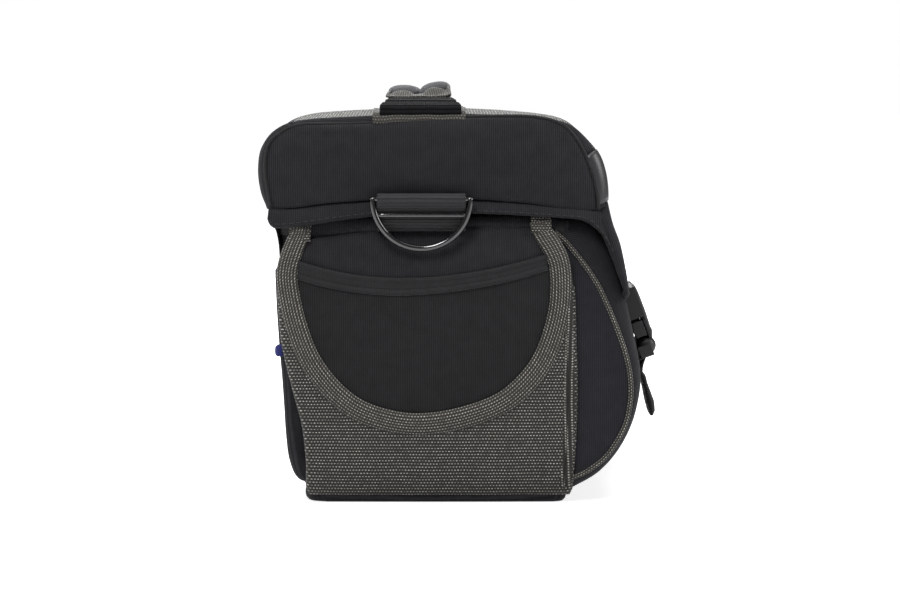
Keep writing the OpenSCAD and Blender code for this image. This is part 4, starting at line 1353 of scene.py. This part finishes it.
# crowned face of the receptacle, with a groove near its foot and a dimple
z = np.linspace(14.4, -12.2, 34)[:, None]
a = np.linspace(-1, 1, 29)
x = a * np.interp(z, [-12.2, -11.4, -3.5, -1.0, 0.5, 12.4, 13.7, 14.4],
                  [12.6, 13.6, 13.9, 15.6, 16.2, 16.2, 15.4, 13.8])
crown = np.sin(math.pi * np.clip((z + 12.2) / 26.6, 0, 1)) ** 0.4
y = (-5.05 - (1.35 * crown + 0.5 * gauss((z + 9.5) / 1.2)) * (1 - a ** 4)
     + 0.55 * gauss(x / 7.0) * gauss((z - 3) / 6.0))
sheet("buckle_receptacle_face", buckle_point(x, y, z), BUCKLE, 1.1, body="lid")
tube("buckle_insert_bar", buckle_point(np.linspace(-14.2, 14.2, 24), -0.9, -15.2), 4.7, BUCKLE,
     sides=24, scale=[0.55, 0.8, 0.93] + [1.0] * 18 + [0.93, 0.8, 0.55], body=insert_body)


def buckle_web(name, pts, width=24.6, thick=1.2, count=60, **part):
    section = strap_section(width, thick, radius=0.45, cuts=14)
    return flat_strap(name, resample(spline(pts, 10), count), section, X_AXIS, WEBBING, **part)


buckle_web("buckle_strap_web",
           [(0, -88.6, 100), (0, -88.9, 94), (0, -88.7, 90.5), buckle_point(0, 2.0, 16.4),
            buckle_point(0, 1.0, 12.0), buckle_point(0, 0.2, 9.0)],
           body="lid", replaces="buckle_strap")
lower = buckle_web("strap_lower_web",
                   [(0, -81.4, 20.2), (0, -85.4, 25), (0, -88.8, 31), (0, -91.5, 36.5),
                    (0, -93.8, 42), (0, -95.4, 47), (0, -97.0, 51),
                    buckle_point(0, 1.4, -18.4), buckle_point(0, 0.8, -16.0)],
                   body=None, replaces="strap_lower")
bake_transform(lower)
# the short run of webbing that stays with the insert
buckle_web("strap_tail_root",
           [buckle_point(0, -0.4, -15.5), (0, -100.3, 53.5), (0, -99.2, 50.0),
            (0, -98.8, 46.5), (0, -99.5, 42.7)],
           width=24.4, thick=1.3, count=40, body=insert_body)

# doubled tail that hangs from it
path = resample(spline([(0, -98.9, 44.4), (0, -99.5, 42.4), (0, -100.5, 38), (0, -101.9, 32),
                        (0, -103.0, 27.4), (0, -103.5, 25.2)]), 60)
normal = unit(np.cross(unit(np.gradient(path, axis=0)), X_AXIS))
normal *= np.sign(-normal[:, 1:2])
t = np.linspace(0, 1, 60)
thickness = np.interp(t, [0, 0.05, 0.2, 0.4, 0.7, 0.9, 1.0], [1.9, 2.5, 2.5, 3.1, 4.0, 3.3, 1.6])
half_width = np.interp(t, [0, 0.9, 1.0], [12.3, 12.4, 11.6])
section = strap_section(2.0, 2.0, radius=0.55, cuts=14)
section = section / np.abs(section).max(0)
rings = (path[:, None]
         + normal[:, None] * ((section[:, :1] * 0.5 + 0.35) * thickness[:, None, None])
         + X_AXIS * section[:, 1:] * half_width[:, None, None])
loft("strap_tail_web", rings, points(section[:, 1] * 12.4, np.linspace(0, 24, 60)[:, None]),
     WEBBING, body="strap_tail", replaces="strap_tail")

# ------------------------------------------------------------------ stage, light, camera
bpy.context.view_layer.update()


def floor_paper():
    """Pale paper that glows to the camera, more strongly away from the bag."""
    s = Shader("floor_paper")
    tone = s.noise(s.position(), scale=8.0)
    s.set({"Base Color": s.mix(tone, (0.86, 0.86, 0.87), (0.89, 0.89, 0.90)),
           "Roughness": 0.9, "Emission Color": (1, 1, 1)})
    light_path = s.new("LightPath")
    position = s.position()
    distance = s.new("VectorMath")
    distance.operation = "LENGTH"
    s.feed(distance.inputs[0], position)
    glow = s.new("MapRange")
    for name, value in (("From Min", 0.16), ("From Max", 0.75), ("To Min", 0.60),
                        ("To Max", 0.93), ("Value", distance.outputs["Value"])):
        s.feed(glow.inputs[name], value)
    s.set({"Emission Strength": s.mul(light_path.outputs["Is Camera Ray"],
                                      glow.outputs["Result"])})
    return s.material


FLOOR = 30      # half size, metres
mesh = bpy.data.meshes.new("floor")
mesh.from_pydata([(-FLOOR, -FLOOR, 0), (FLOOR, -FLOOR, 0), (FLOOR, FLOOR, 0),
                  (-FLOOR, FLOOR, 0)], [], [(0, 1, 2, 3)])
mesh.materials.append(floor_paper())
add_object("floor", mesh)

# the world is white to the camera and softer on the bag
world = bpy.data.worlds.new("studio")
bpy.context.scene.world = world
world.use_nodes = True
tree = world.node_tree
background = tree.nodes["Background"]
background.inputs[0].default_value = (1.0, 1.0, 1.0, 1)
light_path = tree.nodes.new("ShaderNodeLightPath")
strength = tree.nodes.new("ShaderNodeMapRange")
strength.inputs["To Min"].default_value = 0.17
strength.inputs["To Max"].default_value = 1.0
tree.links.new(light_path.outputs["Is Camera Ray"], strength.inputs["Value"])
tree.links.new(strength.outputs["Result"], background.inputs[1])


def aim(obj, location, target):
    obj.location = location
    direction = Vector(target) - Vector(location)
    obj.rotation_euler = direction.to_track_quat("-Z", "Y").to_euler()


# name, location, target, side of the square (metres), power (watts)
for name, location, target, size, power in (
        ("key", (-0.95, 0.35, 1.15), (0, 0, 0.1), 0.5, 14),
        ("front_fill", (-0.35, -1.5, 0.85), (0, -0.02, 0.09), 0.9, 17),
        ("top", (0.1, 0.0, 1.5), (0, 0, 0.1), 1.4, 16),
        ("far_fill", (1.35, 0.1, 0.85), (0, 0, 0.1), 0.9, 13),
        ("back_fill", (0.2, 1.5, 0.85), (0, 0, 0.1), 0.9, 13)):
    light = bpy.data.lights.new(name, "AREA")
    light.shape = "RECTANGLE"
    light.size = light.size_y = size
    light.energy = power
    aim(add_object(name, light), location, target)

camera = bpy.data.cameras.new("cam")
camera.lens = 100
camera.sensor_width = 36
camera.clip_start = 0.05
camera_object = add_object("cam", camera)
bpy.context.scene.camera = camera_object
aim(camera_object, (-1.2, -0.0073, 0.175), (-0.12, -0.0073, 0.0894))
bpy.context.scene.view_settings.view_transform = "Standard"
